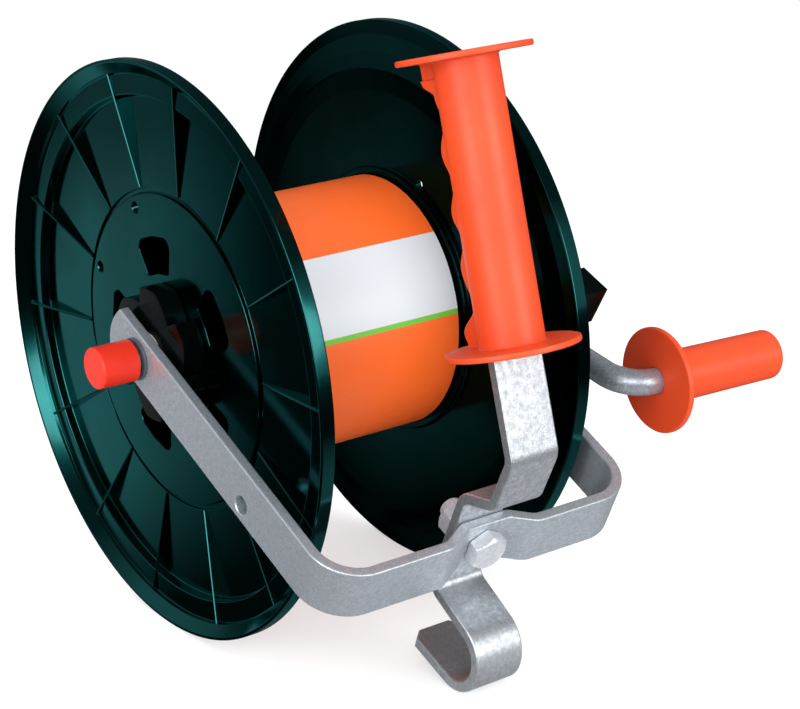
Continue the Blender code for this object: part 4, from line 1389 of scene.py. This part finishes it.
@dataclass
class Studio:
    """Floor, soft light and the camera at the photograph's angle."""

    camera_offset: Triple = (-0.53987, -0.82487, 0.32335)
    right: Triple = (0.80301, -0.59567, -0.01872)
    forward: Triple = (0.5582, 0.76273, -0.32640)
    lens: float = 102.046
    sensor: float = 36.0
    floor_size: float = 12.0
    floor_colour: Triple = (0.55, 0.55, 0.55)
    floor_roughness: float = 0.9
    floor_lift: float = 0.50
    floor_fill: float = 0.30
    floor_fade: Pair = (0.35, 1.3)
    mirror_level: float = 0.02
    mirror_colour: Triple = (0.95, 0.97, 1.0)
    band_slope: float = 0.62
    band_edge: Pair = (-0.135, -0.025)
    band_side: Pair = (0.07, 0.02)
    band_near: Pair = (0.05, 0.20)
    band_far: Pair = (0.64, 0.90)
    band_glow: Pair = (0.66, 0.28)
    patches: tuple[Glow, ...] = (
        Glow((0.02, -0.17, 0.0), (0.22, 0.05), 0.40),
        Glow((0.06, 0.46, 0.0), (0.20, 0.04), 0.55),
    )
    sky_tint: Triple = (0.93, 0.97, 1.0)
    sky_rise: Pair = (0.0, 0.8)
    sky_levels: Pair = (1.50, 1.35)
    glint_level: float = 0.10
    glints: tuple[Glow, ...] = (
        Glow((-0.75, -0.60, 0.28), (0.82, 0.98), 1.4),
        Glow((0.558, -0.83, 0.10), (0.86, 0.98), 0.6),
        Glow((-0.60, 0.75, 0.35), (0.84, 0.98), 0.5),
    )
    lamps: tuple[Lamp, ...] = (
        Lamp("window_left", (-1.9, -0.7, 0.6), 1.3, 22.0),
        Lamp("window_front", (0.5, -2.0, 0.7), 1.3, 22.0),
        Lamp("window_camera", (-0.9, -1.5, 1.0), 0.7, 6.0),
    )

    def camera(self) -> None:
        """Place the camera where the fit to both rims puts it."""
        right, forward = Vector(self.right).normalized(), Vector(self.forward).normalized()
        up = right.cross(forward).normalized()
        data = bpy.data.cameras.new("photo_camera")
        data.lens = self.lens
        data.sensor_width = self.sensor
        data.clip_end = 50.0
        item = bpy.data.objects.new("photo_camera", data)
        turn = Matrix((right, up, -forward)).transposed()
        place = Matrix.Translation(Vector(AXLE_PLACE) + Vector(self.camera_offset))
        item.matrix_world = place @ turn.to_4x4()
        bpy.context.scene.collection.objects.link(item)
        bpy.context.scene.camera = item

    def mirrored(self, tree: Tree, place: Socket) -> Socket:
        """Return how brightly the floor glows in mirrors: a slanting band and round patches.

        The band's two sides lie at set values of x plus the slope times y. Along y it fades in
        near the reel and gets weaker far from it.

        Args:
            tree: The floor's tree.
            place: The place on the floor.

        Returns:
            The level.
        """
        x, y, _ = tree.add("ShaderNodeSeparateXYZ", {0: place}).outputs
        aside = tree.math("ADD", x, tree.math("MULTIPLY", y, self.band_slope))
        edge, side = tree.spread(aside, *self.band_edge), tree.spread(aside, *self.band_side)
        near, far = tree.spread(y, *self.band_near), tree.spread(y, *self.band_far, *self.band_glow)
        band = tree.math("MULTIPLY", tree.math("MULTIPLY", edge, side), tree.math("MULTIPLY", near, far))
        level = tree.math("ADD", band, self.mirror_level)
        for glow in self.patches:
            away = tree.vector("DISTANCE", place, glow.middle)
            level = tree.math("ADD", level, tree.spread(away, *glow.reach, 0.0, glow.level))
        return level

    def floor_look(self) -> bpy.types.Material:
        """Return the floor's material.

        Camera rays see a pale floor that is lifted to white and fades to plain white far away,
        with the object's shadow kept. Diffuse rays see a little more light from it, and glossy
        rays see only the band and the patches.

        Returns:
            The material.
        """
        material, tree, shader = blank("pale_floor")
        tree.give(shader, {
            "Base Color": self.floor_colour,
            "Roughness": self.floor_roughness,
            "Specular IOR Level": 0.0,
        })
        rays = tree.add("ShaderNodeLightPath").outputs
        place = tree.add("ShaderNodeTexCoord").outputs["Object"]
        lift = tree.math("MULTIPLY", rays["Is Camera Ray"], self.floor_lift)
        fill = tree.math("MULTIPLY", rays["Is Diffuse Ray"], self.floor_fill)
        white = (1.0, 1.0, 1.0)
        lifted = {"Color": white, "Strength": tree.math("MAXIMUM", lift, fill)}
        mirrored = {"Color": self.mirror_colour, "Strength": self.mirrored(tree, place)}
        plain, lifted, mirrored = [
            tree.add("ShaderNodeEmission", given).outputs[0]
            for given in ({"Color": white, "Strength": 1.0}, lifted, mirrored)
        ]
        near = tree.add("ShaderNodeAddShader", {0: shader.outputs[0], 1: lifted}).outputs[0]
        far = tree.spread(tree.vector("LENGTH", place), *self.floor_fade)
        fade = tree.math("MULTIPLY", rays["Is Camera Ray"], far)
        seen = tree.add("ShaderNodeMixShader", {0: fade, 1: near, 2: plain}).outputs[0]
        given = {0: rays["Is Glossy Ray"], 1: seen, 2: mirrored}
        final = tree.add("ShaderNodeMixShader", given).outputs[0]
        tree.put(final, material.node_tree.nodes["Material Output"].inputs["Surface"])
        return material

    def floor(self) -> None:
        """Lay the floor."""
        half = self.floor_size / 2
        corners = [(-half, -half, 0), (half, -half, 0), (half, half, 0), (-half, half, 0)]
        mesh = bpy.data.meshes.new("floor")
        mesh.from_pydata(corners, [], [(0, 1, 2, 3)])
        mesh.materials.append(self.floor_look())
        item = bpy.data.objects.new("floor", mesh)
        bpy.context.scene.collection.objects.link(item)

    def world(self) -> None:
        """Light everything softly from around, and show plain white behind.

        Diffuse rays see a sky that changes with height. Glossy rays see a dark sky with glints,
        each brighter the larger the cosine between its direction and the ray's.
        """
        world = bpy.data.worlds.new("studio")
        bpy.context.scene.world = world
        world.use_nodes = True
        tree = Tree(world.node_tree)
        rays = tree.add("ShaderNodeLightPath").outputs
        seen = tree.math("MAXIMUM", rays["Is Camera Ray"], rays["Is Transmission Ray"])
        way = tree.add("ShaderNodeTexCoord").outputs["Generated"]
        height = tree.add("ShaderNodeSeparateXYZ", {0: way}).outputs[2]
        soft = tree.spread(height, *self.sky_rise, *self.sky_levels)
        glint = self.glint_level
        for glow in self.glints:
            facing = tuple(Vector(glow.middle).normalized())
            near = tree.vector("DOT_PRODUCT", way, facing)
            glint = tree.math("ADD", glint, tree.spread(near, *glow.reach, 0.0, glow.level))
        unseen = tree.add("ShaderNodeMix", {0: rays["Is Glossy Ray"], 2: soft, 3: glint}).outputs[0]
        tree.give(world.node_tree.nodes["Background"], {
            "Color": tree.blend(seen, self.sky_tint, (1.0, 1.0, 1.0)),
            "Strength": tree.add("ShaderNodeMix", {0: seen, 2: unseen, 3: 1.0}).outputs[0],
        })

    def build(self) -> None:
        """Set the studio up."""
        self.camera()
        self.floor()
        self.world()
        for lamp in self.lamps:
            lamp.hang()
        bpy.context.scene.view_settings.view_transform = "Standard"


def main() -> None:
    """Build every sub-assembly in order."""
    logging.basicConfig(level=logging.INFO, format="%(name)s: %(message)s")
    Studio().build()
    for part in (SideDiscs(), Drum(), RatchetHubs(), SteelFrame(), ClampBolt(), Grip(), Crank()):
        part.build()
        LOG.info("%s done", type(part).__name__)
    repaint(PLATED_STEEL, "clamp_washer", "axle_push_nut")
    repaint(PLATED_STEEL, "pawl_pivot_pin", "pawl_spring_washer", "pawl_push_nut")
    repaint(ROD_STEEL, "drive_pin")
    # The bushes' slate tone is painted shadow of the cap on the arm.
    repaint(BUSH_PLASTIC_PAINTED_SHADOW, "left_axle_bush", "right_axle_bush")
    repaint(HUB_PLASTIC, "pawl_lever")
    repaint(NYLON, "left_thrust_washer", "right_thrust_washer")


if __name__ == "__main__":
    main()
